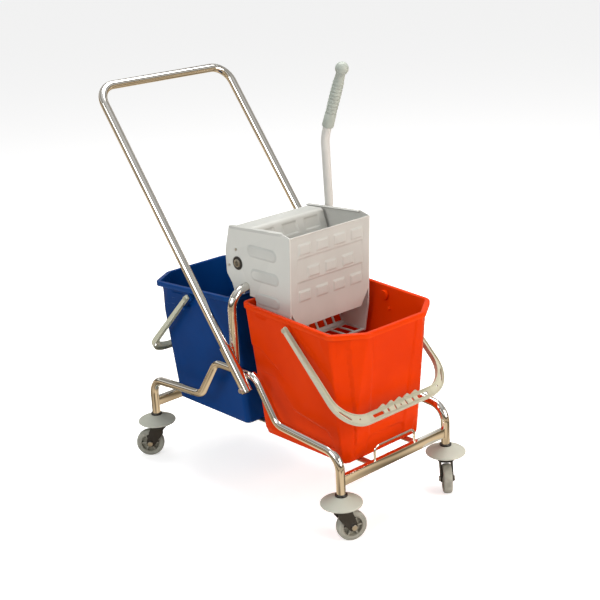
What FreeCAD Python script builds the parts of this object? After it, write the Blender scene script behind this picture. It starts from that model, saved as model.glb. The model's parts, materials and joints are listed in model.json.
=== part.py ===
"""Double-bucket mopping trolley with a lever wringer.

A bent chromed tube frame stands on four swivel castors and carries two plastic buckets, a
sheet-metal wringer that hangs on a tube arch over the front bucket, and a push handle.

Millimetres. +X points to the front bucket, +Y to the lever side, +Z up. The origin is on the
floor, below the middle of the arch.
"""

import FreeCAD
import Part

import math
import os

Vector = FreeCAD.Vector
X_AXIS = Vector(1, 0, 0)
Y_AXIS = Vector(0, 1, 0)
Z_AXIS = Vector(0, 0, 1)

# Clearances.
SEAT_GAP = 0.3              # between a loose piece and what carries it
RUNNING_CLEARANCE = 0.05    # radial, a shaft or pin in its hole
PRESS_CLEARANCE = 0.0       # radial, a piece pushed or welded into another

# Castors.
WHEEL_DIAMETER = 75.0
WHEEL_WIDTH = 22.0
TYRE_SECTION = 10.0
TYRE_ROUND = 4.0
HUB_PROUD = 1.0             # wheel's core beyond the tyre's sides
HUB_CORE_WALL = 6.0
HUB_WEB = 5.0
HUB_RIM = 4.0
WHEEL_AXLE = 8.0
AXLE_HEAD_OVERHANG = 3.0
AXLE_HEAD_HEIGHT = 4.0
CASTOR_TRAIL = 23.0
FORK_THICKNESS = 3.0
FORK_SIDE_GAP = 1.0
FORK_TOP_GAP = 4.0          # between the tyre and the crown
FORK_CROWN_THICKNESS = 5.0
FORK_CROWN_DIAMETER = 44.0
FORK_NECK = 12.0            # straight rear edge of a leg below the crown
FORK_FRONT_INSET = 3.0      # of a leg's front edge at the crown
FORK_EYE = 18.0
FORK_EYE_ROUNDS = (0.8, 0.95)   # rear and front, in half widths of the eye
RACE_DIAMETER = 40.0
RACE_HEIGHT = 6.0
KINGPIN_DIAMETER = 10.0
KINGPIN_LENGTH = 32.0
STEM_LENGTH = 80.0
STEM_FLANGE = 3.0
BUMPER_DIAMETER = 101.0
BUMPER_HUB = 34.0
BUMPER_HUB_HEIGHT = 25.7
BUMPER_SKIN = 3.0
BUMPER_RIM_HEIGHT = 6.0
BUMPER_DOME = 15.0          # hub's top above the edge of the disc
BUMPER_TOP_CURVE = ((0.70, 5.0), (0.18, 11.0))      # share of the way out, height above the edge
BUMPER_UNDER_CURVE = ((0.0, 6.0), (0.58, 1.5), (0.82, -3.0))
GASKET_HEIGHT = 4.0
GASKET_WALL = 4.0
CASTOR_HEADINGS = {         # where each wheel trails, degrees about +Z from +X
    "front_right": 70.0,
    "front_left": -42.0,
    "rear_right": -132.0,
    "rear_left": 150.0,
}

# Tube frame. Heights are above the foot of the legs.
WHEELBASE = 717.0           # between front and rear castor stems
TRACK = 368.0               # between right and left castor stems
TUBE_OD = 22.0
TUBE_WALL = 1.5
SHOULDER_RISE = 103.0       # corner over each castor
SHOULDER_BEND = 45.0
DIP_X = 147.0               # foot of the hump in the middle of each side tube
DIP_RISE = 118.0
HUMP_HALF_LENGTH = 75.0
HUMP_RISE = 223.0
HUMP_BEND = 38.0
BAR_HEIGHT = 25.0           # cross bars, rectangular tube
BAR_THICKNESS = 12.0
BAR_WALL = 1.5
BAR_RISE = 37.0
GUARD_ROD = 6.0             # wire loops that keep the buckets on the frame
GUARD_WIDTH = 138.0
GUARD_RISE = 38.0
GUARD_BEND = 15.0
RAIL_WIDTH = 20.0           # flat strips under the buckets
RAIL_THICKNESS = 4.0
RAIL_SPACING = 156.0
RAIL_SET_DOWN = 4.1         # below the tops of the cross bars

# Arch that carries the wringer.
ARCH_OVER_RIM = 25.0        # its middle above the buckets' rims
ARCH_BEND = 49.0

# Push handle and its sleeves.
HANDLE_FOOT_X = 70.9        # lower end of the sleeve on the sleeve's axis
HANDLE_FOOT_DROP = 33.0     # and how far it lies below the hump
HANDLE_LENGTH = 870.8       # from the foot to the sharp corner at the top
HANDLE_LEAN = 37.02         # degrees from upright
HANDLE_BEND = 50.0
SLEEVE_WALL = 2.95
SLEEVE_LENGTH = 125.0
SLEEVE_GAP = 2.0            # between a sleeve and the tubes that it is welded to
STUB_DIAMETER = 12.0
STOP_BOLT_DIAMETER = 6.0
STOP_BOLT_HEAD = 12.0
STOP_BOLT_HEAD_HEIGHT = 5.0
STOP_BOLT_OFFSET = 9.0      # from the sleeve's lower end

# Buckets. The outer end is the one over the cross bar.
BUCKET_DEPTH = 355.3            # underside to the rim's top at the inner end
BUCKET_RIM_INNER = 18.0         # rim's inner end from the arch's middle
BUCKET_OVERHANG = 20.1          # rim's outer end beyond the castor stems
BUCKET_CORNER = (52.9, 77.2)    # cut outer corners of the rim, along X and Y
BUCKET_BASE_INNER = 34.0
BUCKET_BASE_INSET = 36.5        # base's outer end inside the castor stems
BUCKET_BASE_TAPER = 44.2        # base's side inside the rim's side
BUCKET_BASE_CORNER = (8.0, 12.0)
BUCKET_WALL = 3.0
BUCKET_RIM_DROP = 20.0          # how much lower the rim's outer end is
BUCKET_LIP = 9.0                # rim overhang outside the wall
BUCKET_SKIRT = 12.0
BUCKET_SKIRT_WALL = 2.5
BUCKET_LIP_THICKNESS = 3.5
BUCKET_INNER_ROUND = 14.0
BUCKET_OUTER_ROUND = 18.0       # at the rim's height
BUCKET_BASE_ROUND = 10.0

# Bails.
PIVOT_INSET = 191.6             # from the rim's outer end
PIVOT_DROP = 23.0               # below the rim's top
PIVOT_BOSS = 22.0
PIVOT_PIN = 6.0
PIN_HEAD = 11.0
PIN_HEAD_HEIGHT = 2.0
BAIL_SIDE_GAP = 1.5             # between an arm and the rim
BAIL_EYE = 17.0
BAIL_ARM = 11.0                 # across, along Y
BAIL_THICKNESS = 13.0
BAIL_PAST_RIM = 94.4            # how far the level bail would reach past the rim
BAIL_GRIP = 25.0
BAIL_OUTER_BEND = 80.0
BAIL_HANG = 45.0                # degrees below level, at rest on its stop
SCALLOP_COUNT = 5
SCALLOP_PITCH = 28.0
SCALLOP_RADIUS = 10.0
SCALLOP_RISE = 6.0
GRIP_SLOT_LENGTH = 38.0
GRIP_SLOT_WIDTH = 8.0
GRIP_SLOT_SPACING = 148.0
STOP_LUG = 8.0
STOP_LUG_DISTANCE = 30.0        # from the pivot, along the resting arm

# Wringer. Its places are (x, z) from the middle of the arch's tube.
PLATE = 3.0
WRINGER_SIDE_GAP = 14.4         # side plate to the bucket's wall, at the wringer's foot
WRINGER_TOP_REAR = (-53.0, 147.0)
WRINGER_TOP_FRONT = (137.0, 157.6)
WRINGER_FRONT_TOP = (166.8, 150.0)
WRINGER_FRONT_FOOT = (154.7, -80.0)
WRINGER_FOOT_FRONT = (140.0, -157.0)
WRINGER_FOOT_REAR = (60.0, -157.0)
WRINGER_REAR_LOW = (33.5, -105.0)
HOOK_REAR_X = -47.0
RIM_CLEARANCE = 3.0             # hook ends above the bucket rims
WRINGER_BACK = ((-54.0, -1.0), (-72.0, 23.0), (-73.0, 80.0))
TOP_FLANGE = 9.0
TOP_FLANGE_THICKNESS = 2.5
OVALS = ((12.0, 110.0, 97.5), (20.0, 118.0, 38.0), (31.0, 113.0, -20.0))    # low x, high x, z
OVAL_HEIGHT = 30.0
OVAL_RISE = 1.2
FRONT_CORNER = (26.0, 41.0)     # cut lower corners of the front plate, along Y and Z
PAD_MARGIN = 24.75              # side plate to the nearest pad
PAD_GAP = 18.5
PAD_HEIGHT = 27.0
PAD_RISE = 2.0
PAD_ROWS = ((35.0, 4), (95.0, 3), (152.0, 4))       # depth below the plate's top, pads
BACK_PANEL_TOP = -30.0
BACK_PANEL_THICKNESS = 2.0
GRID_INSET = 2.0                # inside the edges of the side plates
GRID_THICKNESS = 3.0
GRID_SLOTS = 9
GRID_BAR = 6.0                  # between two slots
GRID_MARGIN = 9.0

# Jaw, shaft and lever, with places from the same point.
SHAFT = (-27.5, 55.0)
SHAFT_OD = 20.0
SHAFT_WALL = 3.0
BUSH_WALL = 4.0
BUSH_FLANGE_WIDTH = 3.0
BUSH_FLANGE_THICKNESS = 2.0
STOP_ROD = (-31.0, 89.0)
STOP_ROD_DIAMETER = 7.0
TIE_ROD = (-60.0, 45.0)
TIE_ROD_DIAMETER = 6.0
ROD_PROUD = 2.0
JAW_TOP = (12.0, 147.0)
JAW_FOOT = (84.0, -67.0)
JAW_THICKNESS = 3.0
JAW_SIDE_GAP = 2.5              # between the jaw and the plates' top flanges
JAW_SHELF_END = (-43.0, 145.0)  # rear edge of the jaw's folded top
JAW_SHELF_BEND = 12.0
POCKET_MARGIN = 21.0            # jaw's side edge to the nearest pocket
POCKET_GAP = 26.0
POCKET_COLUMNS = 3
POCKET_HEIGHT = 29.0
POCKET_DEPTH = 1.5
POCKET_ROWS = (27.0, 88.0, 149.0)       # down the jaw from its top
BRACKET_INSET = 29.0            # from the jaw's side edge
BRACKET_THICKNESS = 4.0
BRACKET_HUB_WALL = 7.0
BRACKET_REACH = (48.0, 145.0)   # where the bracket meets the jaw, down from its top
LEVER_OD = 22.0
LEVER_WALL = 2.0
LEVER_KNEE = (8.0, 149.0)
LEVER_ELBOW = (3.0, 323.0)
LEVER_END = (68.0, 487.0)
LEVER_BENDS = (60.0, 90.0)
LEVER_HUB_WALL = 6.0
LEVER_HUB_LENGTH = 26.0
LEVER_PIN = 6.0
GRIP_WALL = 3.5
GRIP_LENGTH = 146.0
GRIP_RINGS = 9
GRIP_RING_DEPTH = 1.6
GRIP_BALL = 34.0

# Worked out from the sizes above: sides and ends.
SIDES = {"right": -1, "left": 1}
ENDS = {"rear": -1, "front": 1}
HALF_BASE = WHEELBASE / 2
HALF_TRACK = TRACK / 2

# Worked out: the castor's stack and the frame's heights.
HUB_WIDTH = WHEEL_WIDTH + 2 * HUB_PROUD
FORK_INSIDE = HUB_WIDTH / 2 + FORK_SIDE_GAP
FORK_CROWN_HEIGHT = WHEEL_DIAMETER + FORK_TOP_GAP
RACE_TOP = FORK_CROWN_HEIGHT + FORK_CROWN_THICKNESS + RACE_HEIGHT
STEM_FOOT = RACE_TOP + SEAT_GAP
BUMPER_FOOT = STEM_FOOT + STEM_FLANGE
LEG_FOOT = BUMPER_FOOT + BUMPER_HUB_HEIGHT
SHOULDER_HEIGHT = LEG_FOOT + SHOULDER_RISE
HUMP_HEIGHT = LEG_FOOT + HUMP_RISE
BAR_TOP = LEG_FOOT + BAR_RISE + BAR_HEIGHT / 2
BAR_FOOT = BAR_TOP - BAR_HEIGHT
RAIL_TOP = BAR_TOP - RAIL_SET_DOWN
TUBE_ID = TUBE_OD - 2 * TUBE_WALL
STEM_DIAMETER = TUBE_ID - 2 * PRESS_CLEARANCE

# Worked out: buckets and bails.
BUCKET_FLOOR = RAIL_TOP + SEAT_GAP
BUCKET_RIM_HEIGHT = BUCKET_FLOOR + BUCKET_DEPTH
BUCKET_RIM_LENGTH = HALF_BASE + BUCKET_OVERHANG - BUCKET_RIM_INNER
BUCKET_RIM_WIDTH = TRACK - TUBE_OD
BUCKET_BASE_LENGTH = HALF_BASE - BUCKET_BASE_INSET - BUCKET_BASE_INNER
BUCKET_BASE_WIDTH = BUCKET_RIM_WIDTH - 2 * BUCKET_BASE_TAPER
RIM_SLOPE = BUCKET_RIM_DROP / BUCKET_RIM_LENGTH
PIVOT_X = BUCKET_RIM_INNER + BUCKET_RIM_LENGTH - PIVOT_INSET
PIVOT = (PIVOT_X, BUCKET_RIM_HEIGHT - RIM_SLOPE * (PIVOT_X - BUCKET_RIM_INNER) - PIVOT_DROP)
BAIL_INNER_WIDTH = BUCKET_RIM_WIDTH + 2 * BAIL_SIDE_GAP
BAIL_REACH = PIVOT_INSET + BAIL_PAST_RIM
BOSS_FACE = BAIL_INNER_WIDTH / 2 - SEAT_GAP
PIN_SEAT = BAIL_INNER_WIDTH / 2 + BAIL_ARM + SEAT_GAP

# Worked out: arch and push handle.
ARCH_HEIGHT = BUCKET_RIM_HEIGHT + ARCH_OVER_RIM
HANDLE_FOOT = Vector(HANDLE_FOOT_X, 0, HUMP_HEIGHT - HANDLE_FOOT_DROP)
HANDLE_AXIS = Vector(-math.sin(math.radians(HANDLE_LEAN)), 0, math.cos(math.radians(HANDLE_LEAN)))
SLEEVE_BORE = TUBE_OD + 2 * RUNNING_CLEARANCE
SLEEVE_OD = SLEEVE_BORE + 2 * SLEEVE_WALL
SLEEVE_Y = HALF_TRACK + TUBE_OD / 2 + SLEEVE_GAP + SLEEVE_OD / 2

# Worked out: wringer, jaw and lever.
NOTCH_DEPTH = ARCH_OVER_RIM - RIM_CLEARANCE
FOOT_SHARE = (ARCH_HEIGHT + WRINGER_FOOT_FRONT[1] - BUCKET_FLOOR) / BUCKET_DEPTH
BASE_TO_RIM = BUCKET_BASE_TAPER - BUCKET_LIP
PLATE_OUTSIDE = (BUCKET_BASE_WIDTH / 2 + BASE_TO_RIM * FOOT_SHARE - BUCKET_WALL
                 - WRINGER_SIDE_GAP)
PLATE_INSIDE = PLATE_OUTSIDE - PLATE
PLATE_MIDDLE = PLATE_OUTSIDE - PLATE / 2
MOST_PADS = max(pads for _, pads in PAD_ROWS)
PAD_WIDTH = (2 * (PLATE_INSIDE - PAD_MARGIN) + PAD_GAP) / MOST_PADS - PAD_GAP
BUSH_OD = SHAFT_OD + 2 * BUSH_WALL
BUSH_FLANGE = BUSH_OD + 2 * BUSH_FLANGE_WIDTH
BUSH_FACE = PLATE_OUTSIDE + BUSH_FLANGE_THICKNESS
JAW_HALF_WIDTH = PLATE_INSIDE - TOP_FLANGE - JAW_SIDE_GAP
POCKET_WIDTH = (2 * (JAW_HALF_WIDTH - POCKET_MARGIN) + POCKET_GAP) / POCKET_COLUMNS - POCKET_GAP
BRACKET_HUB = SHAFT_OD + 2 * BRACKET_HUB_WALL
LEVER_HUB_OD = SHAFT_OD + 2 * LEVER_HUB_WALL
HUB_FACE = BUSH_FACE + SEAT_GAP
LEVER_HUB_CENTRE = HUB_FACE + LEVER_HUB_LENGTH / 2
GRIP_OD = LEVER_OD + 2 * GRIP_WALL


def box(x_span, y_span, z_span):
    """Box from three (low, high) spans."""
    size = [high - low for low, high in (x_span, y_span, z_span)]
    return Part.makeBox(*size, Vector(x_span[0], y_span[0], z_span[0]))


def rod(start, end, diameter):
    """Round bar between two points."""
    return Part.makeCylinder(diameter / 2, start.distanceToPoint(end), start, end - start)


def pipe(start, end, outside, inside):
    """Straight tube between two points."""
    return rod(start, end, outside).cut(rod(start, end, inside))


def cross_rod(place, y_low, y_high, diameter):
    """Round bar along Y at an (x, z) place."""
    x, z = place
    return rod(Vector(x, y_low, z), Vector(x, y_high, z), diameter)


def fillet_corner(before, corner, after, radius):
    """Start, middle and end of the tangent arc at a corner."""
    into = (corner - before).normalize()
    out = (after - corner).normalize()
    turn = into.getAngle(out)
    setback = radius * math.tan(turn / 2)
    depth = radius / math.cos(turn / 2) - radius
    inward = (out - into).normalize()
    return corner - into * setback, corner + inward * depth, corner + out * setback


def bent_path(points, radii):
    """Straight runs joined by tangent arcs, one radius for each inner point."""
    edges = []
    start = points[0]
    for index, radius in enumerate(radii):
        first, middle, last = fillet_corner(*points[index:index + 3], radius)
        edges.append(Part.LineSegment(start, first).toShape())
        edges.append(Part.Arc(first, middle, last).toShape())
        start = last
    edges.append(Part.LineSegment(start, points[-1]).toShape())
    return Part.Wire(edges)


def swept(path, diameter):
    """Round bar along a path."""
    first = path.Edges[0]
    start = first.valueAt(first.FirstParameter)
    along = first.tangentAt(first.FirstParameter)
    circle = Part.Wire(Part.makeCircle(diameter / 2, start, along))
    return path.makePipeShell([circle], True, False)


def bent_tube(points, radii, outside, inside):
    """Tube along straight runs and tangent arcs."""
    path = bent_path(points, radii)
    return swept(path, outside).cut(swept(path, inside))


def closed_outline(points, radii):
    """Closed outline with a tangent arc at every corner; a radius of 0 leaves it sharp."""
    count = len(points)
    edges = []
    ends = []
    for index, radius in enumerate(radii):
        before, corner, after = points[index - 1], points[index], points[(index + 1) % count]
        if radius:
            first, middle, last = fillet_corner(before, corner, after, radius)
            ends.append((first, last, Part.Arc(first, middle, last).toShape()))
        else:
            ends.append((corner, corner, None))
    for index, (first, last, arc) in enumerate(ends):
        if arc:
            edges.append(arc)
        edges.append(Part.LineSegment(last, ends[(index + 1) % count][0]).toShape())
    return Part.Wire(edges)


def side_slab(outline, y_low, y_high, radii=None):
    """Plate parallel to the XZ plane, from (x, z) corners."""
    points = [Vector(x, y_low, z) for x, z in outline]
    wire = closed_outline(points, radii or [0] * len(points))
    return Part.Face(wire).extrude(Vector(0, y_high - y_low, 0))


def revolved(profile, radii=None):
    """Solid of revolution about Z, from (radius, height) corners."""
    points = [Vector(radius, 0, height) for radius, height in profile]
    wire = closed_outline(points, radii or [0] * len(points))
    return Part.Face(wire).revolve(Vector(0, 0, 0), Z_AXIS, 360)


def group(shapes):
    """Several separate solids in one sub-part."""
    return Part.makeCompound(shapes)


def turned(shape, angle, centre=Vector(0, 0, 0), axis=Z_AXIS):
    """Copy of a shape, turned by an angle in degrees."""
    copy = shape.copy()
    copy.rotate(centre, axis, angle)
    return copy


def moved(shape, offset):
    """Copy of a shape, shifted by a vector."""
    copy = shape.copy()
    copy.translate(offset)
    return copy


# ---- Tube frame ----

def side_tube(side):
    """Bent tube from the rear castor, over the hump, to the front castor."""
    half = [(HALF_BASE, LEG_FOOT), (HALF_BASE, SHOULDER_HEIGHT), (DIP_X, LEG_FOOT + DIP_RISE),
            (HUMP_HALF_LENGTH, HUMP_HEIGHT)]
    outline = [(-x, z) for x, z in half] + half[::-1]
    points = [Vector(x, side * HALF_TRACK, z) for x, z in outline]
    radii = [SHOULDER_BEND, HUMP_BEND, HUMP_BEND, HUMP_BEND, HUMP_BEND, SHOULDER_BEND]
    return bent_tube(points, radii, TUBE_OD, TUBE_ID)


def cross_bar(end):
    """Rectangular tube welded between the two castor legs of one end."""
    x = end * HALF_BASE
    half = BAR_THICKNESS / 2
    outer = box((x - half, x + half), (-HALF_TRACK, HALF_TRACK), (BAR_FOOT, BAR_TOP))
    hollow = box((x - half + BAR_WALL, x + half - BAR_WALL), (-HALF_TRACK, HALF_TRACK),
                 (BAR_FOOT + BAR_WALL, BAR_TOP - BAR_WALL))
    bar = outer.cut(hollow)
    for side in SIDES.values():
        bar = bar.cut(rod(Vector(x, side * HALF_TRACK, 0),
                          Vector(x, side * HALF_TRACK, SHOULDER_HEIGHT), TUBE_OD))
    return bar


def guard_loop(end):
    """Wire loop on a cross bar that stops a bucket from sliding off."""
    x = end * HALF_BASE
    half = GUARD_WIDTH / 2
    top = BAR_TOP + GUARD_RISE - GUARD_ROD / 2
    points = [Vector(x, -half, BAR_TOP), Vector(x, -half, top), Vector(x, half, top),
              Vector(x, half, BAR_TOP)]
    return swept(bent_path(points, [GUARD_BEND, GUARD_BEND]), GUARD_ROD)


def bucket_rail(side):
    """Flat strip between the cross bars, under both buckets."""
    y = side * RAIL_SPACING / 2
    reach = HALF_BASE - BAR_THICKNESS / 2
    return box((-reach, reach), (y - RAIL_WIDTH / 2, y + RAIL_WIDTH / 2),
               (RAIL_TOP - RAIL_THICKNESS, RAIL_TOP))


def wringer_arch():
    """Inverted U on the humps of the side tubes."""
    points = [Vector(0, -HALF_TRACK, HUMP_HEIGHT), Vector(0, -HALF_TRACK, ARCH_HEIGHT),
              Vector(0, HALF_TRACK, ARCH_HEIGHT), Vector(0, HALF_TRACK, HUMP_HEIGHT)]
    arch = bent_tube(points, [ARCH_BEND, ARCH_BEND], TUBE_OD, TUBE_ID)
    for side in SIDES.values():
        arch = arch.cut(rod(Vector(-HUMP_HALF_LENGTH, side * HALF_TRACK, HUMP_HEIGHT),
                            Vector(HUMP_HALF_LENGTH, side * HALF_TRACK, HUMP_HEIGHT), TUBE_OD))
    return largest(arch)


def largest(shape):
    """The largest solid of a shape, without offcuts."""
    return max(shape.Solids, key=lambda solid: solid.Volume)


def sleeve_point(distance, side):
    """Point on a handle sleeve's axis, a distance up from its lower end."""
    return HANDLE_FOOT + HANDLE_AXIS * distance + Y_AXIS * (side * SLEEVE_Y)


def handle_sleeve(side):
    """Short tube that a leg of the push handle slides into."""
    sleeve = pipe(sleeve_point(0, side), sleeve_point(SLEEVE_LENGTH, side), SLEEVE_OD,
                  SLEEVE_BORE)
    centre = sleeve_point(STOP_BOLT_OFFSET, side)
    return sleeve.cut(rod(centre - Y_AXIS * SLEEVE_OD, centre + Y_AXIS * SLEEVE_OD,
                          STOP_BOLT_DIAMETER))


def sleeve_stubs():
    """Short bars that join each sleeve to the arch leg and to the side tube."""
    stubs = []
    for side in SIDES.values():
        inner, outer = side * HALF_TRACK, side * SLEEVE_Y
        sleeve = rod(sleeve_point(0, side), sleeve_point(SLEEVE_LENGTH, side), SLEEVE_OD)
        leg = rod(Vector(0, inner, HUMP_HEIGHT), Vector(0, inner, ARCH_HEIGHT), TUBE_OD)
        hump = rod(Vector(-HUMP_HALF_LENGTH, inner, HUMP_HEIGHT),
                   Vector(HUMP_HALF_LENGTH, inner, HUMP_HEIGHT), TUBE_OD)
        slope = -HANDLE_AXIS.z / HANDLE_AXIS.x
        leg_height = HANDLE_FOOT.z + slope * HANDLE_FOOT.x
        hump_x = HANDLE_FOOT.x - (HUMP_HEIGHT - HANDLE_FOOT.z) / slope
        for place, tube in (((0, leg_height), leg), ((hump_x, HUMP_HEIGHT), hump)):
            bar = cross_rod(place, min(inner, outer), max(inner, outer), STUB_DIAMETER)
            stubs.append(largest(bar.cut(sleeve).cut(tube)))
    return group(stubs)


def sleeve_stop_bolts():
    """Bolts across the lower ends of the sleeves, which the handle's legs stand on."""
    bolts = []
    for side in SIDES.values():
        centre = sleeve_point(STOP_BOLT_OFFSET, side)
        outward = Y_AXIS * side
        tip = centre - outward * (SLEEVE_OD / 2)
        seat = centre + outward * (SLEEVE_OD / 2)
        head = seat + outward * STOP_BOLT_HEAD_HEIGHT
        shank = rod(tip, seat, STOP_BOLT_DIAMETER)
        bolts.append(shank.fuse(rod(seat, head, STOP_BOLT_HEAD)).removeSplitter())
    return group(bolts)


def push_handle():
    """U-shaped tube, its legs down in the two sleeves."""
    foot = STOP_BOLT_OFFSET + STOP_BOLT_DIAMETER / 2 + SEAT_GAP
    points = [sleeve_point(foot, -1), sleeve_point(HANDLE_LENGTH, -1),
              sleeve_point(HANDLE_LENGTH, 1), sleeve_point(foot, 1)]
    return bent_tube(points, [HANDLE_BEND, HANDLE_BEND], TUBE_OD, TUBE_ID)


# ---- Castors ----

def castor_places():
    """Name, place on the floor plan and heading of each castor."""
    for end_name, end in ENDS.items():
        for side_name, side in SIDES.items():
            name = f"{end_name}_{side_name}"
            yield name, Vector(end * HALF_BASE, side * HALF_TRACK, 0), CASTOR_HEADINGS[name]


def castor_stem():
    """Spigot in a leg's end, with a flange and a bore for the castor's kingpin."""
    bore = KINGPIN_DIAMETER / 2 + RUNNING_CLEARANCE
    depth = KINGPIN_LENGTH + SEAT_GAP
    return revolved([(bore, STEM_FOOT), (RACE_DIAMETER / 2, STEM_FOOT),
                     (RACE_DIAMETER / 2, STEM_FOOT + STEM_FLANGE),
                     (STEM_DIAMETER / 2, STEM_FOOT + STEM_FLANGE),
                     (STEM_DIAMETER / 2, STEM_FOOT + STEM_LENGTH), (0, STEM_FOOT + STEM_LENGTH),
                     (0, STEM_FOOT + depth), (bore, STEM_FOOT + depth)])


def bumper():
    """Soft round disc between a leg and its castor."""
    edge = LEG_FOOT - BUMPER_DOME
    outer = BUMPER_DIAMETER / 2
    hub = BUMPER_HUB / 2
    bore = STEM_DIAMETER / 2
    above = [(hub + (outer - hub) * share, edge + rise) for share, rise in BUMPER_TOP_CURVE]
    inside = hub - BUMPER_SKIN
    under = [(inside + (outer - inside) * share, edge + rise) for share, rise in BUMPER_UNDER_CURVE]
    return revolved([(bore, BUMPER_FOOT), (inside, BUMPER_FOOT), *under,
                     (outer - BUMPER_SKIN, edge - BUMPER_RIM_HEIGHT),
                     (outer, edge - BUMPER_RIM_HEIGHT), (outer, edge), *above,
                     (hub, LEG_FOOT), (bore, LEG_FOOT)])


def castor_gasket():
    """Rubber ring round a leg where it meets the bumper."""
    return pipe(Vector(0, 0, LEG_FOOT), Vector(0, 0, LEG_FOOT + GASKET_HEIGHT),
                TUBE_OD + 2 * GASKET_WALL, TUBE_OD)


def castor_fork():
    """Swivel fork with its bearing race and kingpin; the wheel trails towards +X."""
    axle = WHEEL_DIAMETER / 2
    crown = Part.makeCylinder(FORK_CROWN_DIAMETER / 2, FORK_CROWN_THICKNESS,
                              Vector(0, 0, FORK_CROWN_HEIGHT))
    race = Part.makeCylinder(RACE_DIAMETER / 2, RACE_HEIGHT,
                             Vector(0, 0, FORK_CROWN_HEIGHT + FORK_CROWN_THICKNESS))
    kingpin = Part.makeCylinder(KINGPIN_DIAMETER / 2, KINGPIN_LENGTH, Vector(0, 0, RACE_TOP))
    fork = crown.fuse([race, kingpin])
    eye = FORK_EYE / 2
    top = FORK_CROWN_HEIGHT + FORK_CROWN_THICKNESS
    rear = -FORK_CROWN_DIAMETER / 3
    front = FORK_CROWN_DIAMETER / 2 - FORK_FRONT_INSET
    outline = [(rear, top), (rear, FORK_CROWN_HEIGHT - FORK_NECK),
               (CASTOR_TRAIL - eye, axle - eye), (CASTOR_TRAIL + eye, axle - eye),
               (CASTOR_TRAIL + eye, axle + eye), (front, top)]
    rounds = [eye * share for share in FORK_EYE_ROUNDS]
    for side in SIDES.values():
        low, high = sorted((side * FORK_INSIDE, side * (FORK_INSIDE + FORK_THICKNESS)))
        fork = fork.fuse(side_slab(outline, low, high, [0, 0, *rounds, 0, 0]))
    reach = FORK_INSIDE + FORK_THICKNESS
    hole = cross_rod((CASTOR_TRAIL, axle), -reach, reach, WHEEL_AXLE)
    return fork.cut(hole).removeSplitter()


def castor_axle_bolt():
    """Bolt through the fork and the wheel."""
    place = (CASTOR_TRAIL, WHEEL_DIAMETER / 2)
    seat = FORK_INSIDE + FORK_THICKNESS
    head = WHEEL_AXLE + 2 * AXLE_HEAD_OVERHANG
    shank = cross_rod(place, -seat, seat, WHEEL_AXLE)
    heads = [cross_rod(place, seat, seat + AXLE_HEAD_HEIGHT, head),
             cross_rod(place, -seat - AXLE_HEAD_HEIGHT, -seat, head)]
    return shank.fuse(heads).removeSplitter()


def stood_up(wheel_piece):
    """Turns a piece made about Z into a wheel about Y, in its place under the fork."""
    return moved(turned(wheel_piece, 90, axis=X_AXIS), Vector(CASTOR_TRAIL, 0, WHEEL_DIAMETER / 2))


def castor_tyre():
    """Grey rubber tread."""
    outer = WHEEL_DIAMETER / 2
    inner = outer - TYRE_SECTION
    half = WHEEL_WIDTH / 2
    return stood_up(revolved([(inner, -half), (outer, -half), (outer, half), (inner, half)],
                             [0, TYRE_ROUND, TYRE_ROUND, 0]))


def castor_hub():
    """Plastic wheel centre with a thin web."""
    rim = WHEEL_DIAMETER / 2 - TYRE_SECTION
    half = WHEEL_WIDTH / 2
    bore = WHEEL_AXLE / 2 + RUNNING_CLEARANCE
    core = WHEEL_AXLE / 2 + HUB_CORE_WALL
    web = HUB_WEB / 2
    return stood_up(revolved([(bore, -HUB_WIDTH / 2), (core, -HUB_WIDTH / 2), (core, -web),
                              (rim - HUB_RIM, -web), (rim - HUB_RIM, -half), (rim, -half),
                              (rim, half), (rim - HUB_RIM, half), (rim - HUB_RIM, web),
                              (core, web), (core, HUB_WIDTH / 2), (bore, HUB_WIDTH / 2)]))


# ---- Buckets and bails ----

def bucket_corners(inner, length, width, corner):
    """Six corners of a bucket's section: square inner end, cut corners at the outer end."""
    long, wide = corner
    half = width / 2
    outer = inner + length
    return [Vector(inner, -half, 0), Vector(outer - long, -half, 0),
            Vector(outer, wide - half, 0), Vector(outer, half - wide, 0),
            Vector(outer - long, half, 0), Vector(inner, half, 0)]


def inset(corners, distance):
    """Moves every side of a convex outline inwards; a negative distance moves it outwards."""
    lines = []
    for index, corner in enumerate(corners):
        along = (corners[(index + 1) % len(corners)] - corner).normalize()
        inward = Z_AXIS.cross(along)
        lines.append((corner + inward * distance, along))
    result = []
    for index, (point, along) in enumerate(lines):
        other, direction = lines[index - 1]
        share = (point - other).cross(along).z / direction.cross(along).z
        result.append(other + direction * share)
    return result


def bucket_section(height, distance):
    """Bucket outline at a height, inset from the outer face of its wall."""
    base = bucket_corners(BUCKET_BASE_INNER, BUCKET_BASE_LENGTH, BUCKET_BASE_WIDTH,
                          BUCKET_BASE_CORNER)
    rim = inset(rim_corners(), BUCKET_LIP)
    share = (height - BUCKET_FLOOR) / BUCKET_DEPTH
    corners = [low + (high - low) * share for low, high in zip(base, rim)]
    outer = BUCKET_BASE_ROUND + (BUCKET_OUTER_ROUND - BUCKET_BASE_ROUND) * share
    radii = [BUCKET_INNER_ROUND] + [outer] * 4 + [BUCKET_INNER_ROUND]
    return closed_outline([corner + Z_AXIS * height for corner in inset(corners, distance)],
                          [radius - distance for radius in radii])


def rim_corners():
    """Outer corners of the rim in plan."""
    return bucket_corners(BUCKET_RIM_INNER, BUCKET_RIM_LENGTH, BUCKET_RIM_WIDTH, BUCKET_CORNER)


def rim_prism(distance):
    """Tall prism of the rim's outline, inset by a distance."""
    radii = [BUCKET_INNER_ROUND] + [BUCKET_OUTER_ROUND] * 4 + [BUCKET_INNER_ROUND]
    wire = closed_outline(inset(rim_corners(), distance),
                          [radius + BUCKET_LIP - distance for radius in radii])
    return Part.Face(wire).extrude(Z_AXIS * (2 * BUCKET_RIM_HEIGHT))


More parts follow.
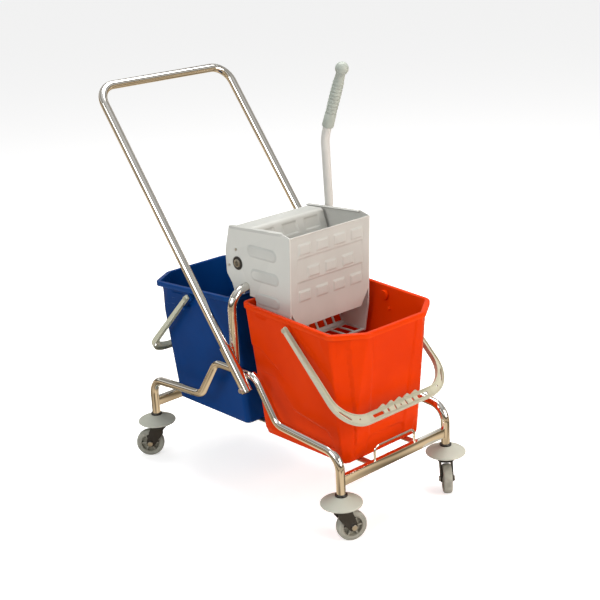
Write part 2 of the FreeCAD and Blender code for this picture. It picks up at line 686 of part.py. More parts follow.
def rim_slab(low, high):
    """Sloping layer between two depths, measured up from the rim's top."""
    far = 2 * (BUCKET_RIM_INNER + BUCKET_RIM_LENGTH)
    start = BUCKET_RIM_HEIGHT + RIM_SLOPE * BUCKET_RIM_INNER
    finish = start - RIM_SLOPE * far
    outline = [(0, start + low), (far, finish + low), (far, finish + high), (0, start + high)]
    return side_slab(outline, -BUCKET_RIM_WIDTH, BUCKET_RIM_WIDTH)


def bucket():
    """Tapered bucket with a sloping rolled rim, pivot bosses and bail stops."""
    top = BUCKET_RIM_HEIGHT + BUCKET_SKIRT
    outside = Part.makeLoft([bucket_section(BUCKET_FLOOR, 0), bucket_section(top, 0)], True, True)
    inside = Part.makeLoft([bucket_section(BUCKET_FLOOR + BUCKET_WALL, BUCKET_WALL),
                            bucket_section(top + BUCKET_WALL, BUCKET_WALL)], True, True)
    body = outside.cut(rim_slab(0, 2 * BUCKET_SKIRT))
    lip = rim_prism(0).common(rim_slab(-BUCKET_LIP_THICKNESS, 0))
    skirt = rim_prism(0).cut(rim_prism(BUCKET_SKIRT_WALL)).common(rim_slab(-BUCKET_SKIRT, 0))
    pieces = [lip, skirt]
    stop = pivot_stop()
    for side in SIDES.values():
        low, high = sorted((side * BUCKET_BASE_WIDTH / 2, side * BOSS_FACE))
        pieces.append(cross_rod(PIVOT, low, high, PIVOT_BOSS))
        low, high = sorted((side * BUCKET_BASE_WIDTH / 2, side * (PIN_SEAT - BAIL_ARM / 2)))
        pieces.append(side_slab(stop, low, high))
    body = body.fuse(pieces).cut(inside)
    for side in SIDES.values():
        low, high = sorted((side * (BOSS_FACE - PIVOT_PIN), side * PIN_SEAT))
        body = body.cut(cross_rod(PIVOT, low, high, PIVOT_PIN))
    return largest(body.removeSplitter())


def pivot_stop():
    """Corners of the lug that a hanging bail's arm rests on."""
    angle = math.radians(BAIL_HANG)
    along = (math.cos(angle), -math.sin(angle))
    below = (-math.sin(angle), -math.cos(angle))
    corners = []
    for far, deep in ((0, 0), (1, 0), (1, 1), (0, 1)):
        distance = STOP_LUG_DISTANCE + far * STOP_LUG
        drop = BAIL_THICKNESS / 2 + SEAT_GAP + deep * STOP_LUG
        corners.append((PIVOT[0] + along[0] * distance + below[0] * drop,
                        PIVOT[1] + along[1] * distance + below[1] * drop))
    return corners


def bail_pins():
    """Headed pins in the pivot bosses of one bucket."""
    pins = []
    for side in SIDES.values():
        low, high = sorted((side * (BOSS_FACE - PIVOT_PIN), side * PIN_SEAT))
        shank = cross_rod(PIVOT, low, high, PIVOT_PIN)
        low, high = sorted((side * PIN_SEAT, side * (PIN_SEAT + PIN_HEAD_HEIGHT)))
        pins.append(shank.fuse(cross_rod(PIVOT, low, high, PIN_HEAD)).removeSplitter())
    return group(pins)


def bail_plan(reach, half_width, bend, thickness):
    """U-shaped slab from the pivots out to a reach, made level."""
    points = [Vector(0, -half_width, 0), Vector(reach, -half_width, 0),
              Vector(reach, half_width, 0), Vector(0, half_width, 0)]
    wire = closed_outline(points, [0, bend, bend, 0])
    slab = Part.Face(wire).extrude(Z_AXIS * thickness)
    return moved(slab, Z_AXIS * (-thickness / 2))


def bail():
    """Plastic carrying handle with a scalloped grip, hanging from its pivots."""
    half = BAIL_INNER_WIDTH / 2
    outer = bail_plan(BAIL_REACH, half + BAIL_ARM, BAIL_OUTER_BEND, BAIL_THICKNESS)
    inner_bend = BAIL_OUTER_BEND - BAIL_ARM
    inner = bail_plan(BAIL_REACH - BAIL_GRIP, half, inner_bend, 2 * BAIL_THICKNESS)
    shape = outer.cut(inner)
    inner_edge = BAIL_REACH - BAIL_GRIP
    first = -(SCALLOP_COUNT - 1) / 2
    for index in range(SCALLOP_COUNT):
        centre = Vector(inner_edge + SCALLOP_RADIUS - SCALLOP_RISE,
                        (first + index) * SCALLOP_PITCH, -BAIL_THICKNESS / 2)
        shape = shape.fuse(Part.makeCylinder(SCALLOP_RADIUS, BAIL_THICKNESS, centre))
    middle = BAIL_REACH - BAIL_GRIP / 2
    for offset in (-GRIP_SLOT_SPACING / 2, GRIP_SLOT_SPACING / 2):
        shape = shape.cut(box((middle - GRIP_SLOT_WIDTH / 2, middle + GRIP_SLOT_WIDTH / 2),
                              (offset - GRIP_SLOT_LENGTH / 2, offset + GRIP_SLOT_LENGTH / 2),
                              (-BAIL_THICKNESS, BAIL_THICKNESS)))
    bore = PIVOT_PIN + 2 * RUNNING_CLEARANCE
    for side in SIDES.values():
        low, high = sorted((side * half, side * (half + BAIL_ARM)))
        shape = shape.fuse(cross_rod((0, 0), low, high, BAIL_EYE))
    shape = shape.cut(cross_rod((0, 0), -half - BAIL_ARM, half + BAIL_ARM, bore))
    shape = turned(shape.removeSplitter(), BAIL_HANG, axis=Y_AXIS)
    return moved(shape, Vector(PIVOT[0], 0, PIVOT[1]))


# ---- Wringer ----

def plate_outline():
    """Side plate corners, without the hook notch."""
    return [WRINGER_TOP_REAR, WRINGER_TOP_FRONT, WRINGER_FRONT_TOP, WRINGER_FRONT_FOOT,
            WRINGER_FOOT_FRONT, WRINGER_FOOT_REAR, WRINGER_REAR_LOW,
            (WRINGER_REAR_LOW[0], -NOTCH_DEPTH), (HOOK_REAR_X, -NOTCH_DEPTH), *WRINGER_BACK]


def rounded_bar(x_low, x_high, z_centre, height, y_low, y_high):
    """Slab with round ends, parallel to the XZ plane."""
    low, high = z_centre - height / 2, z_centre + height / 2
    end = height * 0.499
    return side_slab([(x_low, low), (x_high, low), (x_high, high), (x_low, high)], y_low, y_high,
                     [end] * 4)


def wringer_side(side):
    """Sheet-metal side plate, hooked over the arch, its top edge folded inwards."""
    low, high = sorted((side * PLATE_INSIDE, side * PLATE_OUTSIDE))
    plate = side_slab(plate_outline(), low, high)
    low, high = sorted((side * (PLATE_INSIDE - TOP_FLANGE), side * PLATE_MIDDLE))
    (x0, z0), (x1, z1) = WRINGER_TOP_REAR, WRINGER_TOP_FRONT
    edge = [(x0, z0), (x1, z1), (x1, z1 - TOP_FLANGE_THICKNESS), (x0, z0 - TOP_FLANGE_THICKNESS)]
    plate = plate.fuse(side_slab(edge, low, high))
    low, high = sorted((side * PLATE_MIDDLE, side * (PLATE_OUTSIDE + OVAL_RISE)))
    for x_low, x_high, z in OVALS:
        plate = plate.fuse(rounded_bar(x_low, x_high, z, OVAL_HEIGHT, low, high))
    reach = PLATE_OUTSIDE + BUSH_FLANGE
    notch = TUBE_OD / 2 + SEAT_GAP
    cuts = [cross_rod((0, 0), -reach, reach, 2 * notch),
            box((-notch, notch), (-reach, reach), (-NOTCH_DEPTH, 0)),
            cross_rod(SHAFT, -reach, reach, BUSH_OD),
            cross_rod(STOP_ROD, -reach, reach, STOP_ROD_DIAMETER),
            cross_rod(TIE_ROD, -reach, reach, TIE_ROD_DIAMETER)]
    for tool in cuts:
        plate = plate.cut(tool)
    return largest(plate.removeSplitter())


def front_lean():
    """Degrees that the front plate leans forward at its top."""
    (x0, z0), (x1, z1) = WRINGER_FRONT_FOOT, WRINGER_FRONT_TOP
    return math.degrees(math.atan2(x1 - x0, z1 - z0))


def front_plate():
    """Front pressing plate with embossed pads, its lower corners cut off."""
    (x0, z0), (x1, z1) = WRINGER_FRONT_FOOT, WRINGER_FRONT_TOP
    height = math.hypot(x1 - x0, z1 - z0)
    half = PLATE_INSIDE
    wide, tall = FRONT_CORNER
    outline = [Vector(0, wide - half, 0), Vector(0, half - wide, 0), Vector(0, half, tall),
               Vector(0, half, height), Vector(0, -half, height), Vector(0, -half, tall)]
    plate = Part.Face(closed_outline(outline, [0] * 6)).extrude(X_AXIS * -PLATE)
    for depth, pads in PAD_ROWS:
        middle = height - depth
        for index in range(pads):
            y = (index - (pads - 1) / 2) * (PAD_WIDTH + PAD_GAP)
            plate = plate.fuse(box((-PLATE / 2, PAD_RISE), (y - PAD_WIDTH / 2, y + PAD_WIDTH / 2),
                                   (middle - PAD_HEIGHT / 2, middle + PAD_HEIGHT / 2)))
    leaned = turned(plate.removeSplitter(), front_lean(), axis=Y_AXIS)
    return moved(leaned, Vector(x0, 0, z0))


def jaw_x(z):
    """Middle of the jaw's thickness at a height."""
    (x0, z0), (x1, z1) = JAW_TOP, JAW_FOOT
    return x0 + (x1 - x0) * (z0 - z) / (z0 - z1)


def back_panel():
    """Low rear panel; its folded top edge is the stop that the resting jaw leans on."""
    x0 = WRINGER_REAR_LOW[0] + GRID_INSET
    x1 = x0 + BACK_PANEL_THICKNESS
    skin = JAW_THICKNESS / 2 / math.cos(jaw_lean())
    shelf = BACK_PANEL_TOP - BACK_PANEL_THICKNESS
    reach = jaw_x(BACK_PANEL_TOP) - skin - SEAT_GAP
    span = (-PLATE_INSIDE, PLATE_INSIDE)
    upright = box((x0, x1), span, (WRINGER_REAR_LOW[1], BACK_PANEL_TOP))
    return upright.fuse(box((x0, reach), span, (shelf, BACK_PANEL_TOP))).removeSplitter()


def drain_grid():
    """Folded grid that closes the wringer's foot; its slots run down and then forward."""
    (rear, top), (knee, foot) = WRINGER_REAR_LOW, WRINGER_FOOT_REAR
    rear, knee, foot = rear + GRID_INSET, knee + GRID_INSET, foot + GRID_INSET
    front = WRINGER_FOOT_FRONT[0] - GRID_INSET
    slope = (knee - rear) / (top - foot)
    across = GRID_THICKNESS * math.hypot(slope, 1)
    floor = foot + GRID_THICKNESS
    fold = rear + across + slope * (top - floor)
    outline = [(rear, top), (knee, foot), (front, foot), (front, floor), (fold, floor),
               (rear + across, top)]
    grid = side_slab(outline, -PLATE_INSIDE, PLATE_INSIDE)
    pitch = 2 * PLATE_INSIDE / GRID_SLOTS
    for index in range(GRID_SLOTS):
        low = -PLATE_INSIDE + pitch * index + GRID_BAR / 2
        span = (low, low + pitch - GRID_BAR)
        grid = grid.cut(box((rear - across, fold + across), span,
                            (foot + GRID_MARGIN, top - GRID_MARGIN)))
        grid = grid.cut(box((fold + GRID_MARGIN, front - GRID_MARGIN), span,
                            (foot - GRID_THICKNESS, floor + GRID_THICKNESS)))
    return grid


def plate_rod(place, diameter):
    """Rod through both side plates, its ends a little proud."""
    reach = PLATE_OUTSIDE + ROD_PROUD
    return cross_rod(place, -reach, reach, diameter)


def shaft_bushes():
    """Plastic bushes of the jaw shaft, one in each side plate."""
    bushes = []
    bore = SHAFT_OD + 2 * RUNNING_CLEARANCE
    for side in SIDES.values():
        low, high = sorted((side * PLATE_INSIDE, side * PLATE_OUTSIDE))
        barrel = cross_rod(SHAFT, low, high, BUSH_OD)
        low, high = sorted((side * PLATE_OUTSIDE, side * BUSH_FACE))
        flange = cross_rod(SHAFT, low, high, BUSH_FLANGE)
        hole = cross_rod(SHAFT, -BUSH_FACE, BUSH_FACE, bore)
        bushes.append(barrel.fuse(flange).cut(hole).removeSplitter())
    return group(bushes)


# ---- Jaw and lever ----

def jaw_lean():
    """Angle of the jaw from upright, in radians."""
    (x0, z0), (x1, z1) = JAW_TOP, JAW_FOOT
    return math.atan2(x1 - x0, z0 - z1)


def along_jaw(distance, offset):
    """Place (x, z) a distance down the jaw from its top and an offset behind its middle."""
    lean = jaw_lean()
    return (JAW_TOP[0] + math.sin(lean) * distance - math.cos(lean) * offset,
            JAW_TOP[1] - math.cos(lean) * distance - math.sin(lean) * offset)


def jaw_plate():
    """Moving pressing plate with pressed pockets, its top folded over to the rear."""
    length = math.hypot(JAW_FOOT[0] - JAW_TOP[0], JAW_TOP[1] - JAW_FOOT[1])
    half = JAW_THICKNESS / 2
    below = JAW_THICKNESS / math.cos(jaw_lean())
    (rear_x, rear_z), top = JAW_SHELF_END, along_jaw(0, -half)
    outline = [(rear_x, rear_z), top, along_jaw(length, -half), along_jaw(length, half),
               along_jaw(below, half), (rear_x, rear_z - JAW_THICKNESS)]
    bends = [0, JAW_SHELF_BEND, 0, 0, JAW_SHELF_BEND - JAW_THICKNESS, 0]
    plate = side_slab(outline, -JAW_HALF_WIDTH, JAW_HALF_WIDTH, bends)
    for middle in POCKET_ROWS:
        low, high = middle - POCKET_HEIGHT / 2, middle + POCKET_HEIGHT / 2
        pocket = [along_jaw(low, POCKET_DEPTH - half), along_jaw(low, -POCKET_WIDTH),
                  along_jaw(high, -POCKET_WIDTH), along_jaw(high, POCKET_DEPTH - half)]
        for column in range(POCKET_COLUMNS):
            y = (column - (POCKET_COLUMNS - 1) / 2) * (POCKET_WIDTH + POCKET_GAP)
            plate = plate.cut(side_slab(pocket, y - POCKET_WIDTH / 2, y + POCKET_WIDTH / 2))
    return plate.removeSplitter()


def lever_pin_rod(reach):
    """Round bar along X through the middle of the lever's collar."""
    x, z = SHAFT
    return rod(Vector(x - reach, LEVER_HUB_CENTRE, z), Vector(x + reach, LEVER_HUB_CENTRE, z),
               LEVER_PIN)


def jaw_shaft():
    """Hollow shaft that the jaw and the lever turn on."""
    low = -BUSH_FACE - ROD_PROUD
    high = HUB_FACE + LEVER_HUB_LENGTH + ROD_PROUD
    bore = SHAFT_OD - 2 * SHAFT_WALL
    shaft = cross_rod(SHAFT, low, high, SHAFT_OD).cut(cross_rod(SHAFT, low, high, bore))
    return shaft.cut(lever_pin_rod(LEVER_HUB_OD))


def jaw_bracket(side):
    """Plate that carries the jaw on the shaft."""
    y = side * (JAW_HALF_WIDTH - BRACKET_INSET)
    span = (y - BRACKET_THICKNESS / 2, y + BRACKET_THICKNESS / 2)
    x, z = SHAFT
    hub = BRACKET_HUB / 2
    high, low = [along_jaw(distance, JAW_THICKNESS / 2) for distance in BRACKET_REACH]
    plate = side_slab([(x, z + hub), high, low, (x, z - hub)], *span)
    plate = plate.fuse(cross_rod(SHAFT, *span, BRACKET_HUB))
    return plate.cut(cross_rod(SHAFT, *span, SHAFT_OD)).removeSplitter()


def lever_hub():
    """Collar that clamps the lever to the shaft."""
    span = (HUB_FACE, HUB_FACE + LEVER_HUB_LENGTH)
    hub = cross_rod(SHAFT, *span, LEVER_HUB_OD).cut(cross_rod(SHAFT, *span, SHAFT_OD))
    return hub.cut(lever_pin_rod(LEVER_HUB_OD))


def lever_pin():
    """Pin through the collar and the shaft."""
    return lever_pin_rod(LEVER_HUB_OD / 2 + ROD_PROUD)


def lever_tube():
    """Bent lever, standing on the collar and leaning forward at its top."""
    points = [Vector(x, LEVER_HUB_CENTRE, z) for x, z in (SHAFT, LEVER_KNEE, LEVER_ELBOW, LEVER_END)]
    tube = bent_tube(points, LEVER_BENDS, LEVER_OD, LEVER_OD - 2 * LEVER_WALL)
    span = (HUB_FACE, HUB_FACE + LEVER_HUB_LENGTH)
    x, z = SHAFT
    below = box((x - LEVER_HUB_OD, x + LEVER_HUB_OD), span, (z - LEVER_HUB_OD, z))
    return largest(tube.cut(cross_rod(SHAFT, *span, LEVER_HUB_OD)).cut(below))


def lever_grip():
    """Ringed grip with a ball end, pushed over the lever."""
    outer = GRIP_OD / 2
    bore = LEVER_OD / 2
    cap = outer - bore
    body = revolved([(bore, -GRIP_LENGTH), (outer, -GRIP_LENGTH), (outer, cap), (0, cap), (0, 0),
                     (bore, 0)])
    body = body.fuse(Part.makeSphere(GRIP_BALL / 2, Vector(0, 0, GRIP_BALL / 2 - cap)).cut(
        Part.makeCylinder(GRIP_BALL, GRIP_BALL, Vector(0, 0, -GRIP_BALL))))
    pitch = GRIP_LENGTH / (GRIP_RINGS + 1)
    for index in range(GRIP_RINGS):
        z = -pitch * (index + 1)
        low, high = z - pitch / 4, z + pitch / 4
        floor = outer - GRIP_RING_DEPTH
        groove = revolved([(floor, low), (GRIP_OD, low), (GRIP_OD, high), (floor, high)])
        body = body.cut(groove)
    (x0, z0), (x1, z1) = LEVER_ELBOW, LEVER_END
    lean = math.degrees(math.atan2(x1 - x0, z1 - z0))
    return moved(turned(body.removeSplitter(), lean, axis=Y_AXIS),
                 Vector(x1, LEVER_HUB_CENTRE, z1))


def all_parts():
    """Every sub-part by name."""
    parts = {}
    for name, side in SIDES.items():
        parts[f"side_tube_{name}"] = side_tube(side)
        parts[f"bucket_rail_{name}"] = bucket_rail(side)
        parts[f"handle_sleeve_{name}"] = handle_sleeve(side)
    for name, end in ENDS.items():
        parts[f"cross_bar_{name}"] = cross_bar(end)
        parts[f"guard_loop_{name}"] = guard_loop(end)
    parts["wringer_arch"] = wringer_arch()
    parts["sleeve_stubs"] = sleeve_stubs()
    parts["sleeve_stop_bolts"] = sleeve_stop_bolts()
    parts["push_handle"] = push_handle()
    stems, gaskets = [], []
    for name, place, heading in castor_places():
        stems.append(moved(castor_stem(), place))
        gaskets.append(moved(castor_gasket(), place))
        parts[f"bumper_{name}"] = moved(bumper(), place)
        for piece, shape in (("fork", castor_fork()), ("axle_bolt", castor_axle_bolt()),
                             ("tyre", castor_tyre()), ("hub", castor_hub())):
            parts[f"{piece}_{name}"] = moved(turned(shape, heading), place)
    parts["castor_stems"] = group(stems)
    parts["castor_gaskets"] = group(gaskets)
    for name, angle in (("red", 0), ("blue", 180)):
        parts[f"{name}_bucket"] = turned(bucket(), angle)
        parts[f"{name}_bail"] = turned(bail(), angle)
        parts[f"{name}_bail_pins"] = turned(bail_pins(), angle)
    for name, shape in hung_parts().items():
        parts[name] = moved(shape, Z_AXIS * ARCH_HEIGHT)
    return parts


def hung_parts():
    """Wringer, jaw and lever by name, placed from the middle of the arch's tube."""
    parts = {
        "front_plate": front_plate(),
        "back_panel": back_panel(),
        "drain_grid": drain_grid(),
        "stop_rod": plate_rod(STOP_ROD, STOP_ROD_DIAMETER),
        "tie_rod": plate_rod(TIE_ROD, TIE_ROD_DIAMETER),
        "shaft_bushes": shaft_bushes(),
        "jaw_plate": jaw_plate(),
        "jaw_shaft": jaw_shaft(),
        "lever_hub": lever_hub(),
        "lever_pin": lever_pin(),
        "lever_tube": lever_tube(),
        "lever_grip": lever_grip(),
    }
    for name, side in SIDES.items():
        parts[f"wringer_side_{name}"] = wringer_side(side)
        parts[f"jaw_bracket_{name}"] = jaw_bracket(side)
    return parts


def main():
    """Builds and writes every sub-part."""
    os.makedirs("parts", exist_ok=True)
    for name, shape in all_parts().items():
        shape.exportStep(f"parts/{name}.step")
        bounds = shape.BoundBox
        print(f"{name}: {len(shape.Solids)} solid(s), valid {shape.isValid()}, "
              f"{bounds.XLength:.1f} x {bounds.YLength:.1f} x {bounds.ZLength:.1f}")


main()
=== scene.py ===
"""Double-bucket mopping trolley with a lever wringer: the finished look of every piece.

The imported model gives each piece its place. Shapes are made in millimetres and brought to
metres when a piece is finished. +X points to the red bucket, +Y to the lever and +Z up.
"""

import json
import logging
import math
from dataclasses import dataclass
from enum import Enum

import bmesh
import bpy
from mathutils import Matrix, Vector


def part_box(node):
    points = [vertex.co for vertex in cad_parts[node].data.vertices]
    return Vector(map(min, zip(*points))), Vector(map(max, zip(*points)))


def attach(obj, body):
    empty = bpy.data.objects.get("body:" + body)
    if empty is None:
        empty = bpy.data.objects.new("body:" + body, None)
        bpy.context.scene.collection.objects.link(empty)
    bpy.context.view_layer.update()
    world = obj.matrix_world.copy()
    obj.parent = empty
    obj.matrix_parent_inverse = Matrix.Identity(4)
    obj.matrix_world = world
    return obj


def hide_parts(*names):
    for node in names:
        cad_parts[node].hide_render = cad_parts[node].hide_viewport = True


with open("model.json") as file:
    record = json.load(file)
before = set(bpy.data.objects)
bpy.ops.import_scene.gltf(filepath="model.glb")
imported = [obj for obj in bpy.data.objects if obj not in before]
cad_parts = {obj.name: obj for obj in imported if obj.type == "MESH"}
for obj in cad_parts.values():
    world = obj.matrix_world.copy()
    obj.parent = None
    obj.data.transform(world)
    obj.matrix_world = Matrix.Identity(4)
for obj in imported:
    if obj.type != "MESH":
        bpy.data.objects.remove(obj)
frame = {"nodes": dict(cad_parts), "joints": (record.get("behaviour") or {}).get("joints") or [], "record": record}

MM = 0.001  # metres in a millimetre
WELD = 0.005  # points closer than this, in millimetres, become one
FLAT_TURN = 0.5  # degrees within which neighbouring faces become one
FULL_ROUND = 0.98  # share of the half width that a full round takes
LOG = logging.getLogger("trolley")
Colour = tuple[float, float, float]
Place = tuple[float, float, float]
Flat = tuple[float, float]
Shape = bmesh.types.BMesh
Socket = bpy.types.NodeSocket


class End(Enum):
    """Ends of the trolley, by the sign of X."""

    REAR = -1
    FRONT = 1


class Side(Enum):
    """Sides of the trolley, by the sign of Y."""

    RIGHT = -1
    LEFT = 1


class Surface(Enum):
    """How metallic a finish is."""

    METAL = 1.0
    SKIN = 0.0


# ---------------------------------------------------------------- finishes

@dataclass(frozen=True)
class Finish:
    """A procedural finish and the material slot that it belongs to."""

    slot: str
    colour: Colour
    shade: Colour
    # Colour of convex edges found by pointiness: partly edge wear, partly a painted highlight that lightens rims
    # and lips.
    edge: Colour
    surface: Surface = Surface.SKIN
    gloss: tuple[float, float] = (0.3, 0.45)
    mottle: float = 14.0
    grain: float = 900.0
    relief: float = 0.00002
    scuffs: float = 0.25
    specular: float = 0.5
    mottle_span: tuple[float, float] = (0.35, 0.68)
    # Pointiness over which edges take the edge colour, which is wear and painted highlight together.
    wear_and_highlight_span: tuple[float, float] = (0.53, 0.62)
    scuff_span: tuple[float, float] = (0.5, 0.8)
    scuff_scale: float = 22.0
    scuff_stretch: Place = (1.0, 9.0, 16.0)
    scuff_turn: Place = (0.3, 0.5, 0.7)

    def material(self) -> bpy.types.Material:
        """Makes the material, or finds the one made before.

        Returns:
            The material with its node tree.
        """
        name = f"{self.slot}_finish"
        found = bpy.data.materials.get(name)
        if found:
            return found
        made = bpy.data.materials.new(name)
        made.use_nodes = True
        made.diffuse_color = (*self.colour, 1.0)
        self._wire(made.node_tree)
        return made

    def _wire(self, tree: bpy.types.NodeTree) -> None:
        """Joins mottling, scuffs, edge wear with painted edge highlights, and grain to the shader.

        Args:
            tree: Node tree of a new material.
        """
        shader = tree.nodes["Principled BSDF"]
        place = tree.nodes.new("ShaderNodeTexCoord").outputs["Object"]
        shader.inputs["Metallic"].default_value = self.surface.value
        shader.inputs["Specular IOR Level"].default_value = self.specular
        cloud = self._noise(tree, place, self.mottle, 4.0)
        tint = self._mix(tree, self._ramp(tree, cloud, *self.mottle_span), self.colour,
                         self.shade)
        # Convex edges take the lighter edge colour: partly wear, partly a painted highlight.
        edge_wear_and_highlight = tree.nodes.new("ShaderNodeMix")
        edge_wear_and_highlight.data_type = "RGBA"
        sharpness = tree.nodes.new("ShaderNodeNewGeometry").outputs["Pointiness"]
        tree.links.new(self._ramp(tree, sharpness, *self.wear_and_highlight_span), edge_wear_and_highlight.inputs["Factor"])
        tree.links.new(tint, edge_wear_and_highlight.inputs["A"])
        edge_wear_and_highlight.inputs["B"].default_value = (*self.edge, 1.0)
        tree.links.new(edge_wear_and_highlight.outputs["Result"], shader.inputs["Base Color"])
        tree.links.new(self._roughness(tree, place, cloud), shader.inputs["Roughness"])
        bump = tree.nodes.new("ShaderNodeBump")
        bump.inputs["Strength"].default_value = 1.0
        bump.inputs["Distance"].default_value = self.relief
        tree.links.new(self._noise(tree, place, self.grain, 2.0), bump.inputs["Height"])
        tree.links.new(bump.outputs["Normal"], shader.inputs["Normal"])

    def _noise(self, tree: bpy.types.NodeTree, place: Socket, scale: float,
               detail: float) -> Socket:
        """Adds a noise texture.

        Args:
            tree: Node tree of the material.
            place: Socket with the coordinates.
            scale: Repeats in a metre.
            detail: Octaves.

        Returns:
            The noise's value.
        """
        noise = tree.nodes.new("ShaderNodeTexNoise")
        noise.inputs["Scale"].default_value = scale
        noise.inputs["Detail"].default_value = detail
        tree.links.new(place, noise.inputs["Vector"])
        return noise.outputs["Fac"]

    def _ramp(self, tree: bpy.types.NodeTree, value: Socket, low: float,
              high: float) -> Socket:
        """Stretches a value so that low gives 0 and high gives 1.

        Args:
            tree: Node tree of the material.
            value: Socket to stretch.
            low: Value that becomes 0.
            high: Value that becomes 1.

        Returns:
            The stretched value.
        """
        node = tree.nodes.new("ShaderNodeMapRange")
        node.interpolation_type = "SMOOTHSTEP"
        node.inputs["From Min"].default_value = low
        node.inputs["From Max"].default_value = high
        tree.links.new(value, node.inputs["Value"])
        return node.outputs["Result"]

    def _mix(self, tree: bpy.types.NodeTree, share: Socket, first: Colour,
             second: Colour) -> Socket:
        """Mixes two colours.

        Args:
            tree: Node tree of the material.
            share: Share of the second colour.
            first: Colour at 0.
            second: Colour at 1.

        Returns:
            The mixed colour.
        """
        node = tree.nodes.new("ShaderNodeMix")
        node.data_type = "RGBA"
        tree.links.new(share, node.inputs["Factor"])
        node.inputs["A"].default_value = (*first, 1.0)
        node.inputs["B"].default_value = (*second, 1.0)
        return node.outputs["Result"]

    def _roughness(self, tree: bpy.types.NodeTree, place: Socket, cloud: Socket) -> Socket:
        """Makes gloss that varies in patches and along fine rubbed scuffs.

        Args:
            tree: Node tree of the material.
            place: Socket with the coordinates.
            cloud: Socket with the mottling.

        Returns:
            The roughness.
        """
        stretch = tree.nodes.new("ShaderNodeMapping")
        stretch.inputs["Scale"].default_value = self.scuff_stretch
        stretch.inputs["Rotation"].default_value = self.scuff_turn
        tree.links.new(place, stretch.inputs["Vector"])
        lines = self._noise(tree, stretch.outputs["Vector"], self.scuff_scale, 6.0)
        rubbed = self._ramp(tree, lines, *self.scuff_span)
        patch = tree.nodes.new("ShaderNodeMapRange")
        patch.inputs["To Min"].default_value = self.gloss[0]
        patch.inputs["To Max"].default_value = self.gloss[1]
        tree.links.new(cloud, patch.inputs["Value"])
        total = tree.nodes.new("ShaderNodeMath")
        total.operation = "MULTIPLY_ADD"
        tree.links.new(rubbed, total.inputs[0])
        total.inputs[1].default_value = self.scuffs
        tree.links.new(patch.outputs["Result"], total.inputs[2])
        return total.outputs["Value"]


CHROME = Finish("chromed_tube", (0.80, 0.785, 0.75), (0.75, 0.73, 0.69), (0.88, 0.86, 0.82),
                Surface.METAL, gloss=(0.04, 0.09), grain=160.0, relief=0.000004, scuffs=0.05)
PLATED = Finish("plated_steel", (0.66, 0.65, 0.62), (0.55, 0.54, 0.50), (0.80, 0.79, 0.76),
                Surface.METAL, gloss=(0.22, 0.36), mottle=60.0, grain=500.0)
# The red and blue edge colours are lighter so that rims and lips carry a painted highlight as well as wear.
RED = Finish("red_plastic", (0.70, 0.040, 0.0), (0.63, 0.033, 0.0), (0.95, 0.10, 0.012),
             gloss=(0.20, 0.28), mottle=6.0, relief=0.000008, scuffs=0.006, specular=0.07)
BLUE = Finish("blue_plastic", (0.002, 0.043, 0.19), (0.002, 0.036, 0.16), (0.02, 0.11, 0.34),
              gloss=(0.22, 0.30), mottle=6.0, relief=0.000008, scuffs=0.006, specular=0.07)
BAIL = Finish("bail_plastic", (0.40, 0.395, 0.29), (0.36, 0.355, 0.26), (0.52, 0.52, 0.40),
              gloss=(0.30, 0.42), scuffs=0.12, specular=0.35)
COATED = Finish("grey_coat", (0.52, 0.525, 0.495), (0.49, 0.495, 0.465), (0.62, 0.62, 0.58),
                gloss=(0.32, 0.44), grain=380.0, relief=0.000015, scuffs=0.1, specular=0.4)
LEVER = Finish("lever_coat", (0.62, 0.61, 0.58), (0.58, 0.57, 0.54), (0.70, 0.69, 0.65),
               gloss=(0.30, 0.42), grain=380.0, relief=0.000015, scuffs=0.12)
GRIP = Finish("grip_plastic", (0.39, 0.425, 0.38), (0.34, 0.37, 0.33), (0.52, 0.55, 0.50),
              gloss=(0.36, 0.48), scuffs=0.2)
BUMPER = Finish("bumper_rubber", (0.50, 0.505, 0.43), (0.455, 0.46, 0.395), (0.60, 0.60, 0.54),
                gloss=(0.36, 0.5), scuffs=0.2, specular=0.35)
TYRE = Finish("tyre_rubber", (0.37, 0.365, 0.31), (0.28, 0.275, 0.235), (0.46, 0.455, 0.40),
              gloss=(0.5, 0.7), mottle=45.0, relief=0.00005, scuffs=0.2, specular=0.3)
BLACK = Finish("black_plastic", (0.018, 0.017, 0.015), (0.026, 0.024, 0.021),
               (0.07, 0.067, 0.06), gloss=(0.3, 0.48), scuffs=0.2)
WHEEL = Finish("wheel_plastic", (0.30, 0.29, 0.235), (0.25, 0.24, 0.195), (0.42, 0.41, 0.35),
               gloss=(0.34, 0.5), scuffs=0.2, specular=0.35)
FINISHES = {finish.slot: finish for finish in (CHROME, PLATED, RED, BLUE, BAIL, COATED, LEVER,
                                               GRIP, BUMPER, TYRE, BLACK, WHEEL)}


# ---------------------------------------------------------------- shared ways of making

def body_of(node: str) -> str:
    """Finds the body that a sub-part belongs to.

    Args:
        node: Sub-part name.

    Returns:
        The body's name.
    """
    bodies = frame["record"]["behaviour"]["bodies"]
    return next(body for body, nodes in bodies.items() if node in nodes)


def slot_of(node: str) -> str:
    """Finds a sub-part's material slot.

    Args:
        node: Sub-part name.

    Returns:
        The slot's name.
    """
    rows = frame["record"]["subparts"]
    return next(row["material_slot"] for row in rows if row["node"] == node)


def middle_of(node: str) -> Vector:
    """Finds the middle of a sub-part's box.

    Args:
        node: Sub-part name.

    Returns:
        The middle in millimetres.
    """
    low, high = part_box(node)
    return (low + high) / 2 / MM


def smooth(value: float, start: float, finish: float) -> float:
    """Eases from 0 at start to 1 at finish.

    Args:
        value: Where to look.
        start: Value that gives 0.
        finish: Value that gives 1.

    Returns:
        The eased share.
    """
    share = min(1.0, max(0.0, (value - start) / (finish - start)))
    return share * share * (3 - 2 * share)


